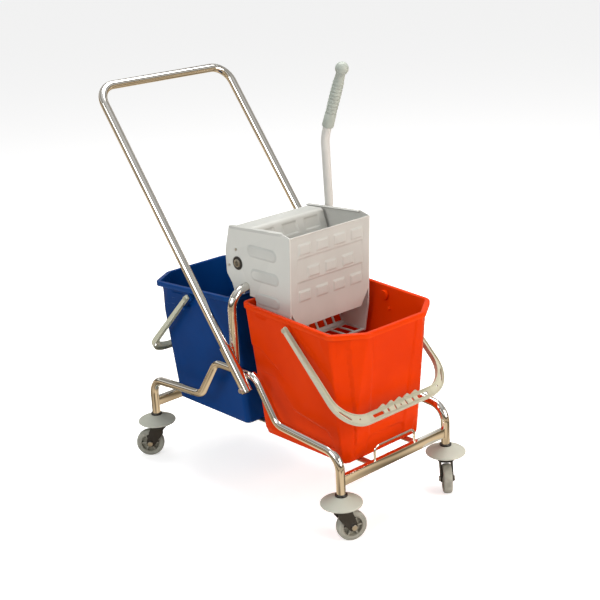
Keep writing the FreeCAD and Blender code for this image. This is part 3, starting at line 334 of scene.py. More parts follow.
def line_height(x: float, corners: tuple[Flat, ...], blend: float) -> float:
    """Height of a line through corners, its bends eased.

    Args:
        x: Where to look.
        corners: Corners as (x, height), in order of x.
        blend: Half width over which a bend is eased.

    Returns:
        The line's height.
    """
    shifts = (-blend, -blend / 2, 0.0, blend / 2, blend)
    total = 0.0
    for shift in shifts:
        here = min(max(x + shift, corners[0][0]), corners[-1][0])
        for (x0, z0), (x1, z1) in zip(corners, corners[1:]):
            if x0 <= here <= x1:
                total += z0 + (z1 - z0) * (here - x0) / (x1 - x0)
                break
    return total / len(shifts)


def finish_piece(shape: Shape, node: str, sharp: float = 32.0) -> bpy.types.Object:
    """Turns a shape made in millimetres into the piece that stands for a sub-part.

    Args:
        shape: The shape, which is used up.
        node: Sub-part that the piece stands for.
        sharp: Edges that turn more than this many degrees stay crisp.

    Returns:
        The finished piece.
    """
    bmesh.ops.remove_doubles(shape, verts=shape.verts[:], dist=WELD)
    bmesh.ops.recalc_face_normals(shape, faces=shape.faces[:])
    bmesh.ops.scale(shape, vec=(MM, MM, MM), verts=shape.verts[:])
    mesh = bpy.data.meshes.new(f"{node}_skin")
    shape.to_mesh(mesh)
    shape.free()
    mesh.shade_smooth()
    mesh.set_sharp_from_angle(angle=math.radians(sharp))
    finish = FINISHES[slot_of(node)]
    mesh.materials.append(finish.material())
    piece = bpy.data.objects.new(mesh.name, mesh)
    bpy.context.scene.collection.objects.link(piece)
    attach(piece, body_of(node))
    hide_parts(node)
    LOG.info("%s: %d faces", piece.name, len(mesh.polygons))
    return piece


def cad_shape(node: str) -> Shape:
    """Copies a sub-part's mesh in millimetres, its triangles joined into flat faces.

    Args:
        node: Sub-part name.

    Returns:
        The merged copy.
    """
    shape = bmesh.new()
    shape.from_mesh(frame["nodes"][node].data)
    bmesh.ops.scale(shape, vec=(1 / MM, 1 / MM, 1 / MM), verts=shape.verts[:])
    bmesh.ops.remove_doubles(shape, verts=shape.verts[:], dist=WELD)
    bmesh.ops.dissolve_limit(shape, angle_limit=math.radians(FLAT_TURN), verts=shape.verts[:],
                             edges=shape.edges[:], use_dissolve_boundaries=False)
    return shape


def soften(shape: Shape, width: float, steps: int = 2, turn: float = 40.0) -> None:
    """Rounds every edge that turns sharply.

    Args:
        shape: Shape to change.
        width: Width of the rounding in millimetres.
        steps: Segments across it.
        turn: Least turn in degrees that counts as sharp.
    """
    sharp = [edge for edge in shape.edges
             if len(edge.link_faces) == 2 and edge.calc_face_angle(0.0) > math.radians(turn)]
    bmesh.ops.bevel(shape, geom=sharp, offset=width, offset_type="OFFSET", segments=steps,
                    profile=0.5, affect="EDGES", clamp_overlap=True, material=-1)


def refine(node: str, width: float, steps: int = 2) -> bpy.types.Object:
    """Makes a piece from a sub-part's own shape, with its sharp edges rounded.

    Args:
        node: Sub-part name.
        width: Width of the rounding in millimetres.
        steps: Segments across it.

    Returns:
        The finished piece.
    """
    shape = cad_shape(node)
    soften(shape, width, steps)
    return finish_piece(shape, node)


def lathe(profile: list[Flat], steps: int = 64) -> Shape:
    """Spins a closed profile about Z.

    Args:
        profile: Corners as (radius, height).
        steps: Segments in the full turn.

    Returns:
        The turned shape.
    """
    shape = bmesh.new()
    ring = [shape.verts.new((radius, 0, height)) for radius, height in profile]
    edges = [shape.edges.new((ring[index - 1], ring[index])) for index in range(len(ring))]
    bmesh.ops.spin(shape, geom=ring + edges, cent=(0, 0, 0), axis=(0, 0, 1),
                   angle=2 * math.pi, steps=steps, use_merge=True)
    return shape


def shift(shape: Shape, move: Place) -> None:
    """Moves a whole shape."""
    bmesh.ops.translate(shape, vec=move, verts=shape.verts[:])


def rotate(shape: Shape, angle: float, axis: str, centre: Place = (0, 0, 0)) -> None:
    """Rotates a whole shape about an axis through a point.

    Args:
        shape: Shape to rotate.
        angle: Angle in radians.
        axis: Letter of the axis.
        centre: Point that the axis runs through.
    """
    bmesh.ops.rotate(shape, cent=centre, verts=shape.verts[:],
                     matrix=Matrix.Rotation(angle, 3, axis))


def stamp(shape: Shape, other: Shape) -> None:
    """Adds one shape to another and frees it.

    Args:
        shape: Shape that grows.
        other: Shape that is added.
    """
    carried = bpy.data.meshes.new("carried")
    other.to_mesh(carried)
    other.free()
    shape.from_mesh(carried)
    bpy.data.meshes.remove(carried)


def rounded_outline(corners: list[Flat], radii: list[float], steps: int = 5,
                    cuts: tuple[int, ...] = ()) -> list[Vector]:
    """Rounds the corners of a flat outline and divides its straight stretches.

    Args:
        corners: Corners in the plan.
        radii: Radius at each corner; 0 leaves it sharp.
        steps: Segments in each rounded corner.
        cuts: Cuts in the stretch after each corner; none when empty.

    Returns:
        The points of the outline, in order.
    """
    flat = bmesh.new()
    verts = [flat.verts.new((corner[0], corner[1], 0)) for corner in corners]
    flat.faces.new(verts)
    spots = [vert.co.copy() for vert in verts]
    count = len(spots)
    setbacks = []
    for index, radius in enumerate(radii):
        into = spots[index] - spots[index - 1]
        out = spots[(index + 1) % count] - spots[index]
        setbacks.append(radius * math.tan(into.angle(out) / 2))
    for vert, setback in zip(verts, setbacks):
        if setback > WELD:
            bmesh.ops.bevel(flat, geom=[vert], offset=setback, offset_type="OFFSET",
                            segments=steps, profile=0.5, affect="VERTICES",
                            clamp_overlap=False, material=-1)
    for index, number in enumerate(cuts):
        start, stop = spots[index], spots[(index + 1) % count]
        along = (stop - start).normalized()
        middle = (start + along * setbacks[index] + stop
                  - along * setbacks[(index + 1) % count]) / 2
        edge = min(flat.edges, key=lambda e: ((e.verts[0].co + e.verts[1].co) / 2
                                              - middle).length)
        bmesh.ops.subdivide_edges(flat, edges=[edge], cuts=number)
    flat.faces.ensure_lookup_table()
    points = [vert.co.copy() for vert in flat.faces[0].verts]
    flat.free()
    return points


def circle(radius: float, centre: Flat, steps: int = 40) -> list[Vector]:
    """Makes the outline of a round hole.

    Args:
        radius: Its radius.
        centre: Its middle in the plan.
        steps: Its segments.

    Returns:
        The points of the outline, in order.
    """
    flat = bmesh.new()
    bmesh.ops.create_circle(flat, cap_ends=True, segments=steps, radius=radius)
    shift(flat, (*centre, 0))
    flat.faces.ensure_lookup_table()
    points = [vert.co.copy() for vert in flat.faces[0].verts]
    flat.free()
    return points


def oblong(width: float, height: float, centre: Flat, turn: float = 0.0,
           radius: float = 0.0) -> list[Vector]:
    """Makes the outline of a turned rectangle with round corners.

    Args:
        width: Size along X before it is turned.
        height: Size along Y before it is turned.
        centre: Its middle in the plan.
        turn: Degrees that it is turned by.
        radius: Radius of its corners; as round as it can be when 0.

    Returns:
        The points of the outline, in order.
    """
    x, y = width / 2, height / 2
    round_off = radius or min(x, y) * FULL_ROUND
    points = rounded_outline([(-x, -y), (x, -y), (x, y), (-x, y)], [round_off] * 4)
    place = Matrix.Translation((*centre, 0)) @ Matrix.Rotation(math.radians(turn), 4, "Z")
    return [place @ point for point in points]


def slab(outline: list[Vector], holes: list[list[Vector]], thickness: float) -> Shape:
    """Makes a flat plate with holes, lying on the plan and rising from it.

    Args:
        outline: Points of its edge.
        holes: Points of each hole's edge.
        thickness: Its thickness.

    Returns:
        The closed plate.
    """
    shape = bmesh.new()
    edges = []
    for points in [outline, *holes]:
        ring = [shape.verts.new(point) for point in points]
        edges += [shape.edges.new((ring[index - 1], ring[index])) for index in range(len(ring))]
    bmesh.ops.triangle_fill(shape, use_beauty=True, edges=edges, normal=(0, 0, 1))
    grown = bmesh.ops.extrude_face_region(shape, geom=shape.faces[:])
    verts = [item for item in grown["geom"] if isinstance(item, bmesh.types.BMVert)]
    bmesh.ops.translate(shape, vec=(0, 0, thickness), verts=verts)
    bmesh.ops.recalc_face_normals(shape, faces=shape.faces[:])
    return shape


def bar(start: Place, stop: Place, section: Flat, round_off: float) -> Shape:
    """Makes a straight bar of rectangular section with rounded edges.

    Args:
        start: Middle of one end.
        stop: Middle of the other end.
        section: Width across and height of the section.
        round_off: Width of the rounding.

    Returns:
        The bar.
    """
    first, last = Vector(start), Vector(stop)
    along = last - first
    shape = bmesh.new()
    bmesh.ops.create_cube(shape, size=1.0)
    bmesh.ops.scale(shape, vec=(section[0], section[1], along.length), verts=shape.verts[:])
    soften(shape, round_off, 3)
    turn = along.to_track_quat("Z", "Y").to_matrix().to_4x4()
    shape.transform(Matrix.Translation((first + last) / 2) @ turn)
    return shape


# ---------------------------------------------------------------- buckets

@dataclass
class Bucket:
    """One bucket, made at the front and turned to its place."""

    name: str
    turn: float
    floor: float = 164.7
    rim_height: float = 520.0
    rim_drop: float = 20.0
    rim_inner: float = 18.0
    rim_length: float = 360.6
    rim_width: float = 346.0
    rim_cut: Flat = (52.9, 77.2)
    base_inner: float = 34.0
    base_length: float = 288.0
    base_width: float = 257.6
    base_cut: Flat = (8.0, 12.0)
    wall: float = 3.0
    lip: float = 9.0
    skirt: float = 12.0
    base_round: float = 10.0
    inner_round: float = 14.0
    rim_round: float = 15.0
    rows: int = 130
    inner_rows: int = 26
    cuts: tuple[int, ...] = (116, 14, 62, 14, 70, 24)
    low_step: tuple[Flat, ...] = ((60.0, 343.0), (106.0, 338.0), (160.0, 264.0),
                                  (201.0, 256.0), (273.0, 243.0), (292.0, 215.0),
                                  (300.0, 160.0))
    high_step: tuple[Flat, ...] = ((10.0, 411.0), (70.0, 406.0), (101.0, 383.0),
                                   (135.0, 355.0), (170.0, 318.0))
    # Moulded steps of the right side; each pair is where a share starts and where it is full.
    step_height: float = 4.6
    step_blend: float = 5.0
    step_ease: float = 2.4
    step_end: Flat = (84.0, 56.0)
    crest_height: float = 2.4
    crest_blend: float = 6.0
    crest_ease: float = 2.0
    crest_end: Flat = (165.0, 130.0)
    arm_height: float = 3.2
    arm_line: Flat = (702.0, 696.0)
    arm_reach: Flat = (128.0, 165.0)
    arm_rise: Flat = (340.0, 430.0)
    # Flutes and scooped foot of the outer end.
    flute_height: float = 2.4
    flute_half: Flat = (76.0, 16.0)
    flute_edge: Flat = (21.0, 14.0)
    flute_foot: Flat = (196.0, 226.0)
    scoop_height: float = 2.6
    scoop_box: Flat = (44.0, 34.0)
    scoop_edge: Flat = (17.0, 23.0)
    # Short slots under the rim.
    slot_deep: float = 2.4
    slot_ease: Flat = (2.0, 1.0)
    slot_top: Flat = (4.0, 5.5)
    slot_foot: Flat = (12.0, 10.5)
    slot_right: Flat = (72.0, 106.0)
    slot_left: Flat = (222.0, 270.0)
    # Where the relief fades out, and which points count as side or end.
    plain_lift: float = 1.0
    fade_foot: Flat = (5.0, 20.0)
    fade_top: Flat = (7.0, 3.0)
    fade_corner: Flat = (12.0, -6.0)
    side_band: float = 3.0
    end_start: float = 0.88
    end_margin: float = 30.0
    # Curved start of the cut corner.
    ease_from: float = 0.66
    ease_reach: float = 34.0
    ease_least: float = 0.1
    reach_rise: Flat = (400.0, 500.0)
    pull: float = 6.0
    pull_rise: Flat = (402.0, 486.0)
    pull_share: Flat = (0.5, 0.85)
    # Rounding of the foot and of the inside floor, as (distance from the wall, rise).
    foot_rings: tuple[Flat, ...] = ((-6.0, 0.0), (-1.6, 0.9), (-0.3, 3.0), (0.0, 6.0))
    inside_rings: tuple[Flat, ...] = ((0.3, 7.0), (2.4, 2.0), (7.0, 0.0))
    # Bosses of the bail's pins and the lugs under its arms.
    boss_radii: Flat = (12.5, 11.0)
    boss_depth: float = 24.0
    boss_across: float = 162.2
    lug_along: float = 34.0
    lug_below: float = 10.8
    lug_span: Flat = (150.0, 180.0)
    lug_size: float = 8.0

    @staticmethod
    def plan(inner: float, length: float, width: float, cut: Flat) -> list[Vector]:
        """Corners of a level section: square inner end, cut corners at the outer end.

        Args:
            inner: X of the inner end.
            length: Size along X.
            width: Size along Y.
            cut: Cut of the outer corners along X and Y.

        Returns:
            The six corners.
        """
        half, outer = width / 2, inner + length
        return [Vector((inner, -half)), Vector((outer - cut[0], -half)),
                Vector((outer, cut[1] - half)), Vector((outer, half - cut[1])),
                Vector((outer - cut[0], half)), Vector((inner, half))]

    @staticmethod
    def grown(corners: list[Vector], distance: float) -> list[Vector]:
        """Moves every side of a section outwards.

        Args:
            corners: Corners of the section, anticlockwise.
            distance: How far; a negative distance moves it inwards.

        Returns:
            The new corners.
        """
        lines = []
        for index, corner in enumerate(corners):
            along = (corners[(index + 1) % len(corners)] - corner).normalized()
            lines.append((corner + Vector((along.y, -along.x)) * distance, along))
        moved = []
        for index, (point, along) in enumerate(lines):
            other, toward = lines[index - 1]
            gap = point - other
            share = ((gap.x * along.y - gap.y * along.x)
                     / (toward.x * along.y - toward.y * along.x))
            moved.append(other + toward * share)
        return moved

    def section(self, share: float, grow: float) -> list[Vector]:
        """Works out the corners of the bucket's section.

        Args:
            share: 0 at the base, 1 at the rim.
            grow: How far the section stands out from the wall's outer face.

        Returns:
            The six corners.
        """
        base = self.plan(self.base_inner, self.base_length, self.base_width, self.base_cut)
        rim = self.grown(self.plan(self.rim_inner, self.rim_length, self.rim_width,
                                   self.rim_cut), -self.lip)
        mixed = [low.lerp(high, share) for low, high in zip(base, rim)]
        return self.grown(mixed, grow)

    def ring(self, shape: Shape, share: float, grow: float,
             rise: float) -> list[bmesh.types.BMEdge]:
        """Adds one closed loop of the bucket's outline.

        Args:
            shape: Shape to add to.
            share: 0 at the base, 1 at the sloping rim.
            grow: How far the loop stands out from the wall's outer face.
            rise: Height above the base, or above the rim's top when share is 1.

        Returns:
            The loop's edges.
        """
        outer = self.base_round + (self.rim_round - self.base_round) * share
        radii = [max(2.0, radius + grow) for radius in
                 (self.inner_round, outer, outer, outer, outer, self.inner_round)]
        corners = [tuple(corner) for corner in self.section(share, grow)]
        points = rounded_outline(corners, radii, 6, self.cuts)
        verts = []
        for point in points:
            fall = self.rim_drop * (point.x - self.rim_inner) / self.rim_length
            level = self.rim_height - fall if share == 1.0 else self.floor
            verts.append(shape.verts.new((point.x, point.y, level + rise)))
        return [shape.edges.new((verts[index - 1], verts[index])) for index in range(len(verts))]

    def side_relief(self, x: float, z: float) -> float:
        """Height of the moulded steps on the bucket's right side.

        Args:
            x: Place along the side.
            z: Height above the floor.

        Returns:
            How far the wall stands out there.
        """
        raised = self.step_height
        if x < self.low_step[-1][0]:
            step = line_height(x, self.low_step, self.step_blend)
            above = smooth(z, step - self.step_ease, step + self.step_ease)
            raised = self.step_height * above
            raised += self.step_height * (1 - above) * smooth(x, *self.step_end)
        crest = line_height(x, self.high_step, self.crest_blend)
        raised += (self.crest_height * smooth(z, crest - self.crest_ease, crest + self.crest_ease)
                   * smooth(x, *self.crest_end))
        raised += (self.arm_height * smooth(x + z, *self.arm_line) * smooth(x, *self.arm_reach)
                   * smooth(z, *self.arm_rise))
        return raised

    def end_relief(self, y: float, z: float) -> float:
        """Height of the two flutes and the scooped foot on the bucket's outer end.

        Args:
            y: Place across the end.
            z: Height above the floor.

        Returns:
            How far the wall stands out there.
        """
        away = abs(y)
        low, gain = self.flute_half
        half = low + gain * (z - self.floor) / (self.rim_height - self.floor)
        flute = (self.flute_height * smooth(z, *self.flute_foot)
                 * smooth(away, half - self.flute_edge[0], half - self.flute_edge[1]))
        beyond = math.hypot(max(0.0, away - self.scoop_box[0]),
                            max(0.0, z - self.floor - self.scoop_box[1]))
        return flute + self.scoop_height * smooth(beyond, *self.scoop_edge)

    def slot_depth(self, x: float, z: float, span: Flat) -> float:
        """Depth of the short slot under the rim.

        Args:
            x: Place along the side.
            z: Height above the floor.
            span: Ends of the slot along X.

        Returns:
            How far the wall is pressed in.
        """
        fall = self.rim_drop * (x - self.rim_inner) / self.rim_length
        down = self.rim_height - fall - self.skirt - z
        wide, tight = self.slot_ease
        inside = (smooth(x, span[0] - wide, span[0] + tight)
                  * smooth(x, span[1] + wide, span[1] - tight))
        return (self.slot_deep * inside * smooth(down, *self.slot_top)
                * smooth(down, *self.slot_foot))

    def emboss(self, verts: list[bmesh.types.BMVert]) -> None:
        """Moves the outer wall out to its moulded relief.

        Args:
            verts: Points between the base and the rim.
        """
        corner = self.section(1.0, 0.0)[1]
        for vert in verts:
            x, y, z = vert.co
            fall = self.rim_drop * (x - self.rim_inner) / self.rim_length
            top = self.rim_height - fall - self.skirt
            fade = (smooth(z, self.floor + self.fade_foot[0], self.floor + self.fade_foot[1])
                    * smooth(z, top + self.fade_top[0], top + self.fade_top[1]))
            share = (z - self.floor) / (self.rim_height - self.floor)
            side = abs(self.section(min(share, 1.0), 0.0)[1].y)
            if abs(y) > side - self.side_band and x > self.base_inner:
                if y < 0:
                    move = self.side_relief(x, z) * smooth(x, corner.x + self.fade_corner[0],
                                                           corner.x + self.fade_corner[1])
                    vert.co.y -= move * fade - self.slot_depth(x, z, self.slot_right)
                else:
                    vert.co.y += (self.plain_lift * fade
                                  - self.slot_depth(x, z, self.slot_left))
            elif x > self.end_start * corner.x and abs(y) < side - self.end_margin:
                vert.co.x += self.end_relief(y, z) * fade

    def ease_corners(self, verts: list[bmesh.types.BMVert]) -> None:
        """Draws the upper outer corners in, so that the cut corner starts with a curved edge.

        Args:
            verts: Points of the outer and inner wall.
        """
        for vert in verts:
            share = (vert.co.z - self.floor) / (self.rim_height - self.floor)
            if share < self.ease_from:
                continue
            crease = self.section(min(share, 1.0), 0.0)[1]
            away = math.hypot(vert.co.x - crease.x, abs(vert.co.y) - abs(crease.y))
            reach = self.ease_reach * smooth(vert.co.z, *self.reach_rise) + self.ease_least
            pull = self.pull * smooth(vert.co.z, *self.pull_rise) * max(0.0, 1 - away / reach)
            vert.co.x -= pull * self.pull_share[0]
            vert.co.y -= math.copysign(pull * self.pull_share[1], vert.co.y)

    def build(self) -> bpy.types.Object:
        """Makes the bucket with its rolled rim, relief, bosses and bail stops.

        Returns:
            The finished piece.
        """
        shape = bmesh.new()
        lip, wall, skirt = self.lip, self.wall, self.skirt
        foot = [self.ring(shape, 0.0, grow, rise) for grow, rise in self.foot_rings]
        rim = [self.ring(shape, 1.0, grow, rise) for grow, rise in (
            (0.0, -4.5), (1.2, -3.5), (lip - 3.0, -3.5), (lip - 2.4, -4.2),
            (lip - 2.3, -skirt + 0.3), (lip - 2.0, -skirt), (lip - 0.6, -skirt),
            (lip, -skirt + 0.6), (lip, -2.0), (lip - 0.5, -0.8), (lip - 1.8, -0.1),
            (lip - 3.0, 0.0), (-wall + 1.4, 0.0), (-wall + 0.3, -0.5), (-wall, -1.8))]
        inside = [self.ring(shape, 0.0, -wall - inward, wall + rise)
                  for inward, rise in self.inside_rings]
        chain = foot + rim + inside
        outer_wall, inner_wall = [], []
        for first, second in zip(chain, chain[1:]):
            made = bmesh.ops.bridge_loops(shape, edges=first + second)
            if second is rim[0]:
                outer_wall = made["edges"]
            elif second is inside[0]:
                inner_wall = made["edges"]
        bmesh.ops.contextual_create(shape, geom=foot[0])
        bmesh.ops.contextual_create(shape, geom=inside[-1])
        outer = self._divide(shape, outer_wall, self.rows)
        self.emboss(outer)
        self.ease_corners(outer)
        self.ease_corners(self._divide(shape, inner_wall, self.inner_rows))
        bmesh.ops.recalc_face_normals(shape, faces=shape.faces[:])
        self._add_bosses(shape)
        rotate(shape, math.radians(self.turn), "Z")
        return finish_piece(shape, f"{self.name}_bucket", sharp=46.0)

    @staticmethod
    def _divide(shape: Shape, rungs: list[bmesh.types.BMEdge],
                rows: int) -> list[bmesh.types.BMVert]:
        """Divides a wall into rows.

        Args:
            shape: The bucket.
            rungs: Edges that run up the wall.
            rows: Cuts in each.

        Returns:
            The new points.
        """
        made = bmesh.ops.subdivide_edges(shape, edges=rungs, cuts=rows, use_grid_fill=True)
        return [item for item in made["geom_inner"] if isinstance(item, bmesh.types.BMVert)]

    def _add_bosses(self, shape: Shape) -> None:
        """Adds the round bosses of the bail's pins and the lugs that its arms rest on.

        Args:
            shape: The bucket at the front place.
        """
        spot = middle_of(f"{self.name}_bail_pins")
        reach, height = abs(spot.x), spot.z
        slope = math.sqrt(0.5)
        lug = (reach + (self.lug_along - self.lug_below) * slope,
               height - (self.lug_along + self.lug_below) * slope)
        for side in Side:
            boss = bmesh.new()
            bmesh.ops.create_cone(boss, cap_ends=True, segments=48, radius1=self.boss_radii[0],
                                  radius2=self.boss_radii[1], depth=self.boss_depth)
            soften(boss, 1.0, 3)
            rotate(boss, math.radians(-90 * side.value), "X")
            shift(boss, (reach, side.value * self.boss_across, height))
            stamp(shape, boss)
            ends = [(lug[0], side.value * across, lug[1]) for across in self.lug_span]
            block = bar(*ends, (self.lug_size, self.lug_size), 1.2)
            rotate(block, math.radians(45), "Y", (lug[0], 0, lug[1]))
            stamp(shape, block)


@dataclass
class Bail:
    """Carrying handle, made level from its pivots and hung at its rest angle."""

    name: str
    turn: float
    hang: float = 45.0
    half: float = 174.5
    arm: float = 11.0
    grip: float = 25.0
    reach: float = 286.0
    bend: float = 80.0
    thickness: float = 13.0
    tip_taper: float = 0.22
    swell: float = 0.18
    teeth: int = 5
    pitch: float = 28.0
    # Corners of a finger tooth as (depth, along, radius).
    tooth: tuple[tuple[float, float, float], ...] = ((0.0, 10.0, 1.2), (5.5, 7.0, 2.0),
                                                     (6.0, 3.0, 2.5), (0.0, -13.0, 3.0))
    tail: float = 7.0
    end_round: float = 5.0
    wall: float = 2.4
    web: float = 3.6
    web_inward: float = 1.3
    web_below: float = 6.0
    pin_hole: float = 2.4
    # Holes as (width, length, distance from the middle, turn, radius of the corners).
    grip_holes: tuple[tuple[float, ...], ...] = ((13.5, 4.6, 18.5, 8, 0.0),
                                                 (10.5, 6.6, 42, 6, 0.0),
                                                 (8.6, 36.0, 76, 0, 2.6))
    # Slots in the bends as (place round the bend, length, width, distance from the edge).
    bend_holes: tuple[tuple[float, ...], ...] = ((24, 5.0, 5.0, 13.0), (56, 36.0, 4.6, 8.0))
    swell_start: Flat = (0.0, 90.0)
    swell_stop: Flat = (130.0, 230.0)
    tip_ease: Flat = (60.0, -5.0)

    def outline(self, inward: float = 0.0) -> list[Vector]:
        """Works out the edge of the handle; only the edge itself has finger teeth.

        Args:
            inward: How far inside the edge the outline runs.

        Returns:
            The points of the outline.
        """
        outer, inner = self.half + self.arm - inward, self.half + inward
        tip, reach = inward - self.tail, self.reach - inward
        edge = self.reach - self.grip + inward
        end, wide = max(1.0, self.end_round - inward), self.bend - inward
        tight = self.bend - self.arm + inward
        corners = [(tip, -outer), (reach, -outer), (reach, outer), (tip, outer), (tip, inner),
                   (edge, inner)]
        radii = [end, wide, wide, end, end, tight]
        for index in reversed(range(self.teeth if inward == 0.0 else 0)):
            y = (index - (self.teeth - 1) / 2) * self.pitch
            corners += [(edge - deep, y + along) for deep, along, _ in self.tooth]
            radii += [radius for *_, radius in self.tooth]
        corners += [(edge, -inner), (tip, -inner)]
        radii += [tight, end]
        return rounded_outline(corners, radii, 12)

    def holes(self) -> list[list[Vector]]:
        """Works out the holes and slots moulded through the grip and its bends.

        Returns:
            The points of each hole's edge.
        """
        middle = self.reach - self.grip / 2
        found = [circle(self.pin_hole, (middle, 0), 16)]
        for side in (-1, 1):
            for width, length, away, angle, radius in self.grip_holes:
                found.append(oblong(width, length, (middle, side * away), side * angle, radius))
            for angle, length, width, away in self.bend_holes:
                turn = math.radians(angle)
                radius = self.bend - away
                spot = (self.reach - self.bend + math.cos(turn) * radius,
                        side * (self.half + self.arm - self.bend + math.sin(turn) * radius))
                found.append(oblong(width, length, spot, side * angle))
        return found

    def shell(self) -> Shape:
        """Makes the wall round the handle's edge and the thin web with the holes.

        Returns:
            The handle, lying level with its middle on the plan.
        """
        shape = slab(self.outline(), [self.outline(self.wall)], self.thickness)
        soften(shape, 0.9, 2, 50.0)
        web = slab(self.outline(self.web_inward), self.holes(), self.web)
        shift(web, (0, 0, self.thickness - self.web_below))
        stamp(shape, web)
        shift(shape, (0, 0, -self.thickness / 2))
        return shape

    def build(self) -> bpy.types.Object:
        """Makes the handle, its arms slim at the pivots and deeper further on.

        Returns:
            The finished piece.
        """
        shape = self.shell()
        for vert in shape.verts:
            swell = (smooth(vert.co.x, *self.swell_start)
                     - smooth(vert.co.x, *self.swell_stop))
            tip = self.tip_taper * smooth(vert.co.x, *self.tip_ease)
            vert.co.z *= 1.0 + self.swell * swell - tip
        rotate(shape, math.radians(self.hang), "Y")
        spot = middle_of(f"{self.name}_bail_pins")
        shift(shape, (abs(spot.x), 0, spot.z))
        rotate(shape, math.radians(self.turn), "Z")
        return finish_piece(shape, f"{self.name}_bail", sharp=40.0)


# ---------------------------------------------------------------- castors

@dataclass
class Castor:
    """Bumper, tyre, hub, fork and bolt of one castor."""

    end: End
    side: Side
    tyre_radius: float = 37.5
    tyre_inner: float = 27.5
    half_width: float = 11.0
    web: float = 2.5
    core: float = 10.0
    bore: float = 4.05
    hub_half: float = 12.0
    ribs: int = 6
    rib_gap: float = 2.5
    rib_section: Flat = (3.4, 6.6)
    rib_level: float = 5.2
    stem: float = 9.55
    bumper_depth: float = 15.0

    @property
    def name(self) -> str:
        """Name of this corner of the trolley."""
        return f"{self.end.name.lower()}_{self.side.name.lower()}"

    def _wheel_place(self) -> Matrix:
        """Works out where the wheel stands and how it is turned.

        Returns:
            Transform from a wheel about Z to the wheel in place, in millimetres.
        """
        joint = next(row for row in frame["joints"] if row["name"] == f"wheel_{self.name}_spin")
        axis = Vector(joint["axis"])
        centre = Vector(joint["pos_m"]) / MM
        return Matrix.Translation(centre) @ axis.to_track_quat("Z", "Y").to_matrix().to_4x4()

    def tyre(self) -> bpy.types.Object:
        """Makes the tread with rounded shoulders and a parting groove each side.

        Returns:
            The finished piece.
        """
        outer, inner, half = self.tyre_radius, self.tyre_inner, self.half_width
        right = [(inner, -half + 1), (inner + 1.5, -half), (inner + 3.6, -half),
                 (inner + 4.0, -half + 0.7), (inner + 4.6, -half + 0.7), (inner + 5.0, -half),
                 (outer - 3.4, -half + 0.3), (outer - 1.4, -half + 1.6),
                 (outer - 0.3, -half + 4.2), (outer, -half + 7)]
        shape = lathe(right + [(radius, -height) for radius, height in reversed(right)], 96)
        shape.transform(self._wheel_place())
        return finish_piece(shape, f"tyre_{self.name}")

    def hub(self) -> bpy.types.Object:
        """Makes the wheel centre with its web, rim and spokes.

        Returns:
            The finished piece.
        """
        half, rim = self.half_width, self.tyre_inner
        right = [(self.bore, -self.hub_half), (self.core - 1.0, -self.hub_half),
                 (self.core, 1.0 - self.hub_half),
                 (self.core + 1.2, -self.web), (rim - 4.0, -self.web), (rim - 3.2, -half + 1.0),
                 (rim - 2.6, -half + 0.3), (rim - 0.4, -half + 0.3), (rim, -half + 0.8)]
        shape = lathe(right + [(radius, -height) for radius, height in reversed(right)], 80)
        for index in range(self.ribs):
            for face in (-1, 1):
                rib = bmesh.new()
                bmesh.ops.create_cube(rib, size=1.0)
                bmesh.ops.scale(rib, vec=(rim - self.core - self.rib_gap, *self.rib_section),
                                verts=rib.verts[:])
                soften(rib, 0.8, 2)
                shift(rib, ((rim + self.core - self.rib_gap) / 2, 0, face * self.rib_level))
                rotate(rib, 2 * math.pi * index / self.ribs, "Z")
                stamp(shape, rib)
        shape.transform(self._wheel_place())
        return finish_piece(shape, f"hub_{self.name}")

    def bumper(self) -> bpy.types.Object:
        """Makes the soft disc as one turned shell with a rolled edge.

        Returns:
            The finished piece.
        """
        low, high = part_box(f"bumper_{self.name}")
        centre = (low + high) / 2 / MM
        top, radius = high.z / MM, (high.x - low.x) / 2 / MM
        edge, foot = top - self.bumper_depth, low.z / MM + 0.1
        profile = [(self.stem, foot), (14.0, foot), (14.2, edge + 6.5),
                   (30.0, edge + 2.6), (radius - 7.0, edge - 2.6), (radius - 4.0, edge - 5.2),
                   (radius - 2.8, edge - 6.0), (radius - 1.2, edge - 5.6),
                   (radius - 0.2, edge - 4.2), (radius, edge - 2.6), (radius - 0.5, edge - 1.0),
                   (radius - 2.0, edge + 0.4), (radius - 10.0, edge + 4.6), (30.0, edge + 8.6),
                   (22.0, edge + 11.8), (18.0, edge + 13.6), (16.2, top), (self.stem, top)]
        shape = lathe(profile, 96)
        shift(shape, (centre.x, centre.y, 0))
        return finish_piece(shape, f"bumper_{self.name}")

    def build(self) -> None:
        """Makes every piece of the castor."""
        self.tyre()
        self.hub()
        self.bumper()
        refine(f"fork_{self.name}", 1.0)
        refine(f"axle_bolt_{self.name}", 0.8)


# ---------------------------------------------------------------- tubes and bars

@dataclass
class TubeFrame:
    """Chromed tubes, bars, rails and their small fittings."""

    tubes: tuple[str, ...] = ("side_tube_right", "side_tube_left", "wringer_arch",
                              "push_handle", "handle_sleeve_right", "handle_sleeve_left",
                              "guard_loop_front", "guard_loop_rear", "sleeve_stubs")
    bars: tuple[str, ...] = ("cross_bar_front", "cross_bar_rear", "bucket_rail_right",
                             "bucket_rail_left")
    fittings: tuple[str, ...] = ("sleeve_stop_bolts", "castor_stems", "castor_gaskets",
                                 "red_bail_pins", "blue_bail_pins")

    def build(self) -> None:
        """Refines each piece."""
        for node in self.tubes:
            refine(node, 0.3, 1)
        for node in self.bars:
            refine(node, 1.2, 3)
        for node in self.fittings:
            refine(node, 0.6)


# ---------------------------------------------------------------- wringer

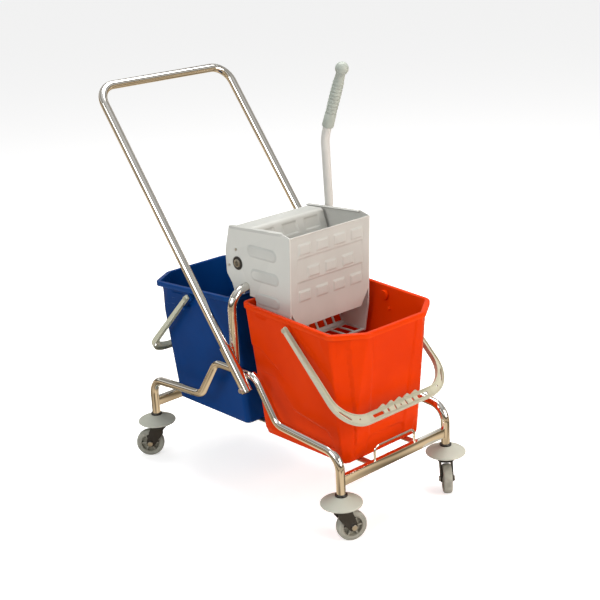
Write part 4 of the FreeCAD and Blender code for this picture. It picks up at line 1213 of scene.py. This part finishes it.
@dataclass
class Wringer:
    """Plates, rods and bushes, and the jaw with its lever; places are from the arch's middle."""

    arch: float = 545.0
    half: float = 130.5
    plate: float = 3.0
    flange: float = 9.0
    top_rear: Flat = (-53.0, 147.0)
    top_front: Flat = (137.0, 157.6)
    front_top: Flat = (166.8, 150.0)
    front_foot: Flat = (154.7, -80.0)
    shaft: Flat = (-27.5, 55.0)
    shaft_hole: float = 14.0
    rivets: tuple[tuple[float, float, float], ...] = ((3.5, -31.0, 89.0), (3.0, -60.0, 45.0))
    ovals: tuple[tuple[float, float, float], ...] = ((11.0, 118.0, 95.5), (19.0, 122.0, 37.0),
                                                     (30.0, 121.0, -22.0))
    oval_height: float = 32.0
    oval_steps: tuple[Flat, ...] = ((1.2, 0.3), (1.4, 0.9), (1.4, 0.8), (1.6, 0.3), (0.8, 0.0))
    bead_drop: float = 4.2
    bead_out: float = 0.2
    fold_drop: float = 1.4
    cell: float = 1.9
    border: float = 23.0
    pad: Flat = (39.0, 27.0)
    pad_pitch: float = 57.5
    pad_rows: tuple[tuple[float, int], ...] = ((35.0, 4), (95.0, 3), (152.0, 4))
    pad_height: float = 2.7
    pad_edge: Flat = (1.0, -3.4)
    ledges: Flat = (56.0, 115.0)
    ledge_edge: Flat = (0.6, 2.4)
    shingle: float = 1.5
    shingle_start: float = 8.0
    shingle_end: float = 60.0
    shingle_ease: float = 1.2
    lip_height: float = 1.2
    lip_edge: Flat = (4.5, 2.0)
    front_cut: Flat = (26.0, 41.0)
    front_thinner: float = 0.4
    jaw_half: float = 119.0
    jaw_top: Flat = (12.0, 147.0)
    jaw_foot: Flat = (84.0, -67.0)
    jaw_shelf: Flat = (-43.0, 145.0)
    jaw_bend: float = 11.0
    pocket: Flat = (48.0, 29.0)
    pocket_pitch: float = 74.0
    pocket_rows: tuple[float, ...] = (27.0, 88.0, 149.0)
    pocket_edge: Flat = (0.6, -2.0)
    pocket_depth: float = -1.9
    jaw_thinner: float = 0.2
    lever_elbow: Place = (3.0, 0.0, 323.0)
    lever_end: Place = (68.0, 0.0, 487.0)
    grip_bore: float = 11.05
    grip_foot: float = -146.0
    grip_rings: int = 9
    ring_pitch: float = 9.6
    ball: float = 16.8
    ball_level: float = 12.6
    refined: tuple[str, ...] = ("stop_rod", "tie_rod", "shaft_bushes", "jaw_shaft", "lever_hub",
                                "lever_pin", "lever_tube", "jaw_bracket_right",
                                "jaw_bracket_left", "back_panel", "drain_grid")

    def side_outline(self) -> list[Vector]:
        """Works out the edge of a side plate with its hook over the arch.

        Returns:
            The points of the edge.
        """
        notch = 11.3
        corners = [self.top_rear, (-73.0, 80.0), (-72.0, 23.0), (-54.0, -1.0), (-47.0, -22.0),
                   (-notch, -22.0), (-notch, notch), (notch, notch), (notch, -22.0),
                   (33.5, -22.0), (33.5, -105.0), (60.0, -157.0), (140.0, -157.0),
                   self.front_foot, self.front_top, self.top_front]
        radii = [3.0, 6.0, 8.0, 4.0, 3.0, 1.0, 11.2, 11.2, 1.0, 3.0, 6.0, 4.0, 4.0, 4.0, 2.0,
                 3.0]
        return rounded_outline(corners, radii, 8)

    def side_plate(self, side: Side) -> bpy.types.Object:
        """Makes a side plate with pressed ovals and a folded top edge.

        Args:
            side: Side that it stands on.

        Returns:
            The finished piece.
        """
        holes = [circle(self.shaft_hole, self.shaft, 56)]
        holes += [circle(radius, (x, z), 24) for radius, x, z in self.rivets]
        shape = slab(self.side_outline(), holes, self.plate)
        soften(shape, 0.7, 2, 60.0)
        for low, high, level in self.ovals:
            stamp(shape, self._pressed_oval(low, high, level))
        stamp(shape, self._top_bead())
        stamp(shape, self._top_fold())
        upright = Matrix(((1, 0, 0), (0, 0, 1), (0, 1, 0))).to_4x4()
        place = Matrix.Translation((0, side.value * self.half, self.arch))
        shape.transform(place @ Matrix.Diagonal((1, side.value, 1, 1)) @ upright)
        return finish_piece(shape, f"wringer_side_{side.name.lower()}")

    def _pressed_oval(self, low: float, high: float, level: float) -> Shape:
        """Makes one oval that stands out of a side plate like a soft pillow.

        Args:
            low: X of its rear end.
            high: X of its front end.
            level: Height of its middle.

        Returns:
            The oval on the outside of a plate that lies on the plan.
        """
        outline = oblong(high - low, self.oval_height, ((low + high) / 2, level))
        shape = slab(outline, [], 1.0)
        shift(shape, (0, 0, self.plate - 0.9))
        top = [face for face in shape.faces if face.normal.z > 0.9]
        for thickness, depth in self.oval_steps:
            bmesh.ops.inset_region(shape, faces=top, thickness=thickness, depth=depth,
                                   use_even_offset=True, use_boundary=True)
        return shape

    def _top_bead(self) -> Shape:
        """Makes the bead that the fold leaves along the outside of a side plate's top.

        Returns:
            The bead on a plate that lies on the plan.
        """
        (x0, z0), (x1, z1) = self.top_rear, self.top_front
        drop, out = self.bead_drop, self.plate + self.bead_out
        shape = bar((x0 + 2, z0 - drop, out), (x1 - 1, z1 - drop, out), (7.6, 4.4), 0.6)
        for vert in shape.verts:
            level = z0 + (z1 - z0) * (vert.co.x - x0) / (x1 - x0) - drop
            if vert.co.y < level:
                vert.co.z = min(vert.co.z, out)
        return shape

    def _top_fold(self) -> Shape:
        """Makes the folded edge that stiffens a side plate's top.

        Returns:
            The fold, inward of a plate that lies on the plan.
        """
        (x0, z0), (x1, z1) = self.top_rear, self.top_front
        drop = self.fold_drop
        level = drop - self.flange / 2
        return bar((x0 + 1, z0 - drop, level), (x1 - 1, z1 - drop, level), (2.6, self.flange),
                   1.0)

    def front_relief(self, across: float, depth: float) -> float:
        """Height of the front plate's shingled rows and pads.

        Args:
            across: Place across the plate from its middle.
            depth: Distance down from its top edge.

        Returns:
            How far the skin stands out.
        """
        first, second = self.ledges
        above, below = self.ledge_edge
        rise, drop = self.shingle, 2 * self.shingle
        inside = smooth(abs(across), self.half - self.border + self.shingle_ease,
                        self.half - self.border - self.shingle_ease)
        shingle = rise * smooth(depth, self.shingle_start, first)
        shingle -= drop * smooth(depth, first - above, first + below)
        shingle += drop * smooth(depth, first + below, second) * (depth > first)
        shingle -= drop * smooth(depth, second - above, second + below)
        shingle += (rise * smooth(depth, second + below, second + self.shingle_end)
                    * (depth > second))
        raised = 0.0
        for row, pads in self.pad_rows:
            for index in range(pads):
                y = (index - (pads - 1) / 2) * self.pad_pitch
                out = max(abs(across - y) - self.pad[0] / 2, abs(depth - row) - self.pad[1] / 2)
                raised = max(raised, smooth(out, *self.pad_edge))
        lip = self.lip_height * smooth(depth, *self.lip_edge)
        return shingle * inside + self.pad_height * raised + lip

    def front_plate(self) -> bpy.types.Object:
        """Makes the front pressing plate.

        Returns:
            The finished piece.
        """
        foot, top = Vector(self.front_foot), Vector(self.front_top)
        up = (top - foot).normalized()
        height = (top - foot).length
        shape = self._sheet(2 * self.half, height)
        wide, tall = self.front_cut
        for sign in (-1, 1):
            bmesh.ops.bisect_plane(shape, geom=shape.verts[:] + shape.edges[:] + shape.faces[:],
                                   plane_co=(sign * self.half, tall, 0),
                                   plane_no=(sign * tall, -wide, 0), clear_outer=True)
        for vert in shape.verts:
            vert.co.z = self.front_relief(vert.co.x, height - vert.co.y)
        bmesh.ops.solidify(shape, geom=shape.faces[:],
                             thickness=self.plate - self.front_thinner)
        for vert in shape.verts:
            across, rise, out = vert.co
            vert.co = (foot.x + up.x * rise + up.y * out, across,
                       self.arch + foot.y + up.y * rise - up.x * out)
        return finish_piece(shape, "front_plate", sharp=50.0)

    def _sheet(self, width: float, height: float) -> Shape:
        """Makes a fine flat grid, centred across and rising from 0.

        Args:
            width: Its width along X.
            height: Its height along Y.

        Returns:
            The grid.
        """
        shape = bmesh.new()
        bmesh.ops.create_grid(shape, x_segments=round(width / self.cell),
                              y_segments=round(height / self.cell), size=0.5)
        bmesh.ops.scale(shape, vec=(width, height, 1), verts=shape.verts[:])
        shift(shape, (0, height / 2, 0))
        return shape

    def _jaw_lines(self) -> tuple[Vector, Vector, Vector]:
        """Works out the straight lines that the jaw's face follows, as (x, z).

        Returns:
            The sharp knee, the way from the rear edge to it and the direction below it.
        """
        lean = (Vector(self.jaw_foot) - Vector(self.jaw_top)).normalized()
        knee = Vector(self.jaw_top) + Vector((-lean.y, lean.x)) * (self.plate / 2)
        return knee, knee - Vector(self.jaw_shelf), lean

    def jaw_path(self, run: float) -> tuple[Vector, Vector]:
        """Follows the jaw's face from the rear edge of its folded top down to its foot.

        Args:
            run: Distance from the rear edge.

        Returns:
            The place and the direction that the face looks in, both as (x, z).
        """
        rear = Vector(self.jaw_shelf)
        knee, reach, lean = self._jaw_lines()
        shelf = reach.normalized()
        turn = shelf.angle(lean)
        setback = self.jaw_bend * math.tan(turn / 2)
        flat = reach.length - setback
        out = Vector((-shelf.y, shelf.x))
        if run <= flat:
            return rear + shelf * run, out
        bent = (run - flat) / self.jaw_bend
        if bent >= turn:
            down = (bent - turn) * self.jaw_bend + setback
            return knee + lean * down, Vector((-lean.y, lean.x))
        centre = rear + shelf * flat - out * self.jaw_bend
        out.rotate(Matrix.Rotation(-bent, 2))
        return centre + out * self.jaw_bend, out

    def jaw_length(self) -> float:
        """Works out the jaw's length along its face.

        Returns:
            The length from the rear edge of its folded top to its foot.
        """
        _, reach, lean = self._jaw_lines()
        turn = reach.angle(lean)
        setback = self.jaw_bend * math.tan(turn / 2)
        down = (Vector(self.jaw_foot) - Vector(self.jaw_top)).length
        return reach.length + down - 2 * setback + self.jaw_bend * turn

    def jaw_plate(self) -> bpy.types.Object:
        """Makes the jaw with its folded top and pressed pockets.

        Returns:
            The finished piece.
        """
        total = self.jaw_length()
        down = (Vector(self.jaw_foot) - Vector(self.jaw_top)).length
        start = total - down
        shape = self._sheet(2 * self.jaw_half, total)
        for vert in shape.verts:
            across, run = vert.co.x, vert.co.y
            pressed = 0.0
            for row in self.pocket_rows:
                for column in (-1, 0, 1):
                    out = max(abs(across - column * self.pocket_pitch) - self.pocket[0] / 2,
                              abs(run - start - row) - self.pocket[1] / 2)
                    pressed = max(pressed, smooth(out, *self.pocket_edge))
            vert.co.z = self.pocket_depth * pressed
        bmesh.ops.solidify(shape, geom=shape.faces[:],
                           thickness=self.plate - self.jaw_thinner)
        for vert in shape.verts:
            across, run, out = vert.co
            place, facing = self.jaw_path(run)
            spot = place + facing * out
            vert.co = (spot.x, across, self.arch + spot.y)
        return finish_piece(shape, "jaw_plate", sharp=50.0)

    def lever_grip(self) -> bpy.types.Object:
        """Makes the grip with its ball end, waist and rings.

        Returns:
            The finished piece.
        """
        elbow, end = Vector(self.lever_elbow), Vector(self.lever_end)
        bore, foot = self.grip_bore, self.grip_foot
        profile = [(bore, foot), (13.6, foot), (14.6, foot + 0.8), (14.9, foot + 2.4),
                   (14.6, foot + 36.0)]
        level = foot + 38.0
        for index in range(self.grip_rings):
            waist = 13.5 + 0.6 * math.sin(math.pi * index / (self.grip_rings - 1))
            profile += [(waist - 1.5, level), (waist - 1.5, level + 1.6),
                        (waist + 0.3, level + 2.8), (waist + 0.8, level + 5.2),
                        (waist + 0.3, level + 7.6)]
            level += self.ring_pitch
        profile += [(12.9, level), (12.7, level + 3.0)]
        ball, centre = self.ball, self.ball_level
        for step in range(13):
            angle = math.radians(-48 + 137 * step / 12)
            profile.append((ball * math.cos(angle), centre + ball * math.sin(angle)))
        profile += [(0.0, centre + ball), (0.0, 0.0), (bore, 0.0)]
        shape = lathe(profile, 56)
        turn = (end - elbow).to_track_quat("Z", "Y").to_matrix().to_4x4()
        spot = middle_of("lever_hub")
        place = Matrix.Translation((end.x, spot.y, self.arch + end.z))
        shape.transform(place @ turn)
        return finish_piece(shape, "lever_grip", sharp=60.0)

    def build(self) -> None:
        """Makes every piece of the wringer."""
        for side in Side:
            self.side_plate(side)
        self.front_plate()
        self.jaw_plate()
        self.lever_grip()
        for node in self.refined:
            refine(node, 0.5)


# ---------------------------------------------------------------- studio

@dataclass
class Studio:
    """Floor, soft lights and the camera."""

    camera_place: Place = (2.2978, -2.0219, 1.5033)
    azimuth: float = 48.1
    elevation: float = 18.6
    roll: float = -2.9
    lens: float = 76.54
    room_bands: tuple[tuple[float, Colour], ...] = (
        (0.00, (0.20, 0.16, 0.11)), (0.05, (0.05, 0.04, 0.03)), (0.13, (0.12, 0.10, 0.08)),
        (0.22, (0.42, 0.39, 0.34)), (0.34, (1.05, 1.03, 0.98)), (0.44, (0.26, 0.24, 0.21)),
        (0.66, (0.34, 0.33, 0.31)), (1.00, (0.85, 0.85, 0.85)))
    room_light: float = 0.38
    floor_size: float = 60.0
    floor_colour: Colour = (0.95, 0.95, 0.95)
    floor_glow: float = 0.52
    floor_patches: float = 2.0
    floor_bands: tuple[tuple[float, Colour], ...] = ((0.40, (0.16, 0.12, 0.07)),
                                                     (0.60, (0.84, 0.64, 0.41)))
    aim: Place = (0.0, 0.0, 0.45)
    lamps: tuple[tuple[str, Place, Flat, float, Colour], ...] = (
        ("end_light", (3.2, 0.9, 1.5), (1.6, 1.8), 72.0, (1.0, 0.90, 0.82)),
        ("key_light", (0.4, -3.2, 2.2), (1.8, 1.2), 42.0, (0.97, 1.0, 1.0)),
        ("top_light", (-0.4, 0.6, 3.2), (2.2, 1.8), 78.0, (1.0, 1.0, 1.0)))

    def floor(self) -> None:
        """Lays a plain pale floor out to the horizon; metal sees it warmer."""
        shape = bmesh.new()
        bmesh.ops.create_grid(shape, x_segments=2, y_segments=2, size=self.floor_size)
        mesh = bpy.data.meshes.new("studio_floor")
        shape.to_mesh(mesh)
        shape.free()
        plane = bpy.data.objects.new("studio_floor", mesh)
        paint = bpy.data.materials.new("floor_paint")
        paint.use_nodes = True
        tree = paint.node_tree
        shader = tree.nodes["Principled BSDF"]
        shader.inputs["Base Color"].default_value = (*self.floor_colour, 1)
        shader.inputs["Roughness"].default_value = 0.9
        shader.inputs["Specular IOR Level"].default_value = 0.0
        shader.inputs["Emission Color"].default_value = (1.0, 1.0, 1.0, 1)
        glow = tree.nodes.new("ShaderNodeMath")
        glow.operation = "MULTIPLY"
        glow.inputs[1].default_value = self.floor_glow
        tree.links.new(tree.nodes.new("ShaderNodeLightPath").outputs["Is Camera Ray"],
                       glow.inputs[0])
        tree.links.new(glow.outputs["Value"], shader.inputs["Emission Strength"])
        warm = tree.nodes.new("ShaderNodeEmission")
        place = tree.nodes.new("ShaderNodeTexCoord").outputs["Object"]
        noise = tree.nodes.new("ShaderNodeTexNoise")
        noise.inputs["Scale"].default_value = self.floor_patches
        noise.inputs["Detail"].default_value = 1.0
        tree.links.new(place, noise.inputs["Vector"])
        ramp = tree.nodes.new("ShaderNodeValToRGB")
        tree.links.new(noise.outputs["Fac"], ramp.inputs["Fac"])
        for stop, (position, colour) in zip(ramp.color_ramp.elements, self.floor_bands):
            stop.position, stop.color = position, (*colour, 1)
        tree.links.new(ramp.outputs["Color"], warm.inputs["Color"])
        self._seen_by_metal(tree, shader.outputs["BSDF"], warm.outputs["Emission"],
                            tree.nodes["Material Output"].inputs["Surface"])
        mesh.materials.append(paint)
        bpy.context.scene.collection.objects.link(plane)

    def _seen_by_metal(self, tree: bpy.types.NodeTree, plain: Socket, mirrored: Socket,
                       output: Socket) -> None:
        """Shows one look directly and another in mirrors.

        Args:
            tree: Node tree of the floor or the room.
            plain: Look that lights the trolley and that is seen directly.
            mirrored: Look that reflections show.
            output: Socket that takes the result.
        """
        path = tree.nodes.new("ShaderNodeLightPath")
        mixed = tree.nodes.new("ShaderNodeMixShader")
        tree.links.new(path.outputs["Is Glossy Ray"], mixed.inputs[0])
        tree.links.new(plain, mixed.inputs[1])
        tree.links.new(mirrored, mixed.inputs[2])
        tree.links.new(mixed.outputs["Shader"], output)

    def softbox(self, name: str, place: Place, size: Flat, power: float,
                tint: Colour) -> None:
        """Hangs one soft light, facing the trolley.

        Args:
            name: Name of the light.
            place: Its place in metres.
            size: Width and height in metres.
            power: Power in watts.
            tint: Its colour.
        """
        light = bpy.data.lights.new(name, "AREA")
        light.shape = "RECTANGLE"
        light.size, light.size_y = size
        light.energy = power
        light.color = tint
        lamp = bpy.data.objects.new(name, light)
        lamp.location = place
        toward = Vector(self.aim) - Vector(place)
        lamp.rotation_euler = toward.to_track_quat("-Z", "Y").to_euler()
        bpy.context.scene.collection.objects.link(lamp)

    def room(self) -> None:
        """Surrounds the trolley with a white room that metal sees in bands."""
        world = bpy.data.worlds.new("studio_room")
        world.use_nodes = True
        tree = world.node_tree
        plain = tree.nodes["Background"]
        plain.inputs["Color"].default_value = (1.0, 1.0, 1.0, 1)
        plain.inputs["Strength"].default_value = self.room_light
        banded = tree.nodes.new("ShaderNodeBackground")
        place = tree.nodes.new("ShaderNodeTexCoord")
        split = tree.nodes.new("ShaderNodeSeparateXYZ")
        ramp = tree.nodes.new("ShaderNodeValToRGB")
        tree.links.new(place.outputs["Generated"], split.inputs["Vector"])
        tree.links.new(split.outputs["Z"], ramp.inputs["Fac"])
        stops = ramp.color_ramp.elements
        while len(stops) < len(self.room_bands):
            stops.new(1.0)
        for stop, (height, colour) in zip(stops, self.room_bands):
            stop.position = height
            stop.color = (*colour, 1)
        tree.links.new(ramp.outputs["Color"], banded.inputs["Color"])
        self._seen_by_metal(tree, plain.outputs["Background"], banded.outputs["Background"],
                            tree.nodes["World Output"].inputs["Surface"])
        bpy.context.scene.world = world

    def camera(self) -> None:
        """Sets the camera at its viewing angle."""
        lens = bpy.data.cameras.new("view")
        lens.lens = self.lens
        lens.sensor_width = 36.0
        lens.clip_end = 200.0
        view = bpy.data.objects.new("view", lens)
        azimuth, elevation = math.radians(self.azimuth), math.radians(self.elevation)
        back = Vector((math.sin(azimuth) * math.cos(elevation),
                       -math.cos(azimuth) * math.cos(elevation), math.sin(elevation)))
        level = Vector((math.cos(azimuth), math.sin(azimuth), 0))
        upright = back.cross(level)
        tilt = math.radians(self.roll)
        right = level * math.cos(tilt) + upright * math.sin(tilt)
        top = upright * math.cos(tilt) - level * math.sin(tilt)
        turned = Matrix((right, top, back)).transposed().to_4x4()
        view.matrix_world = Matrix.Translation(Vector(self.camera_place)) @ turned
        bpy.context.scene.collection.objects.link(view)
        bpy.context.scene.camera = view

    def build(self) -> None:
        """Sets up floor, lights, camera and a plain view of the colours."""
        self.floor()
        self.room()
        for lamp in self.lamps:
            self.softbox(*lamp)
        self.camera()
        bpy.context.scene.view_settings.view_transform = "Standard"


def main() -> None:
    """Builds the whole trolley and its studio."""
    logging.basicConfig(level=logging.INFO, format="%(name)s: %(message)s")
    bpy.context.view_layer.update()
    for name, turn in (("red", 0.0), ("blue", 180.0)):
        Bucket(name, turn).build()
        Bail(name, turn).build()
    for end in End:
        for side in Side:
            Castor(end, side).build()
    TubeFrame().build()
    Wringer().build()
    Studio().build()


if __name__ == "__main__":
    main()
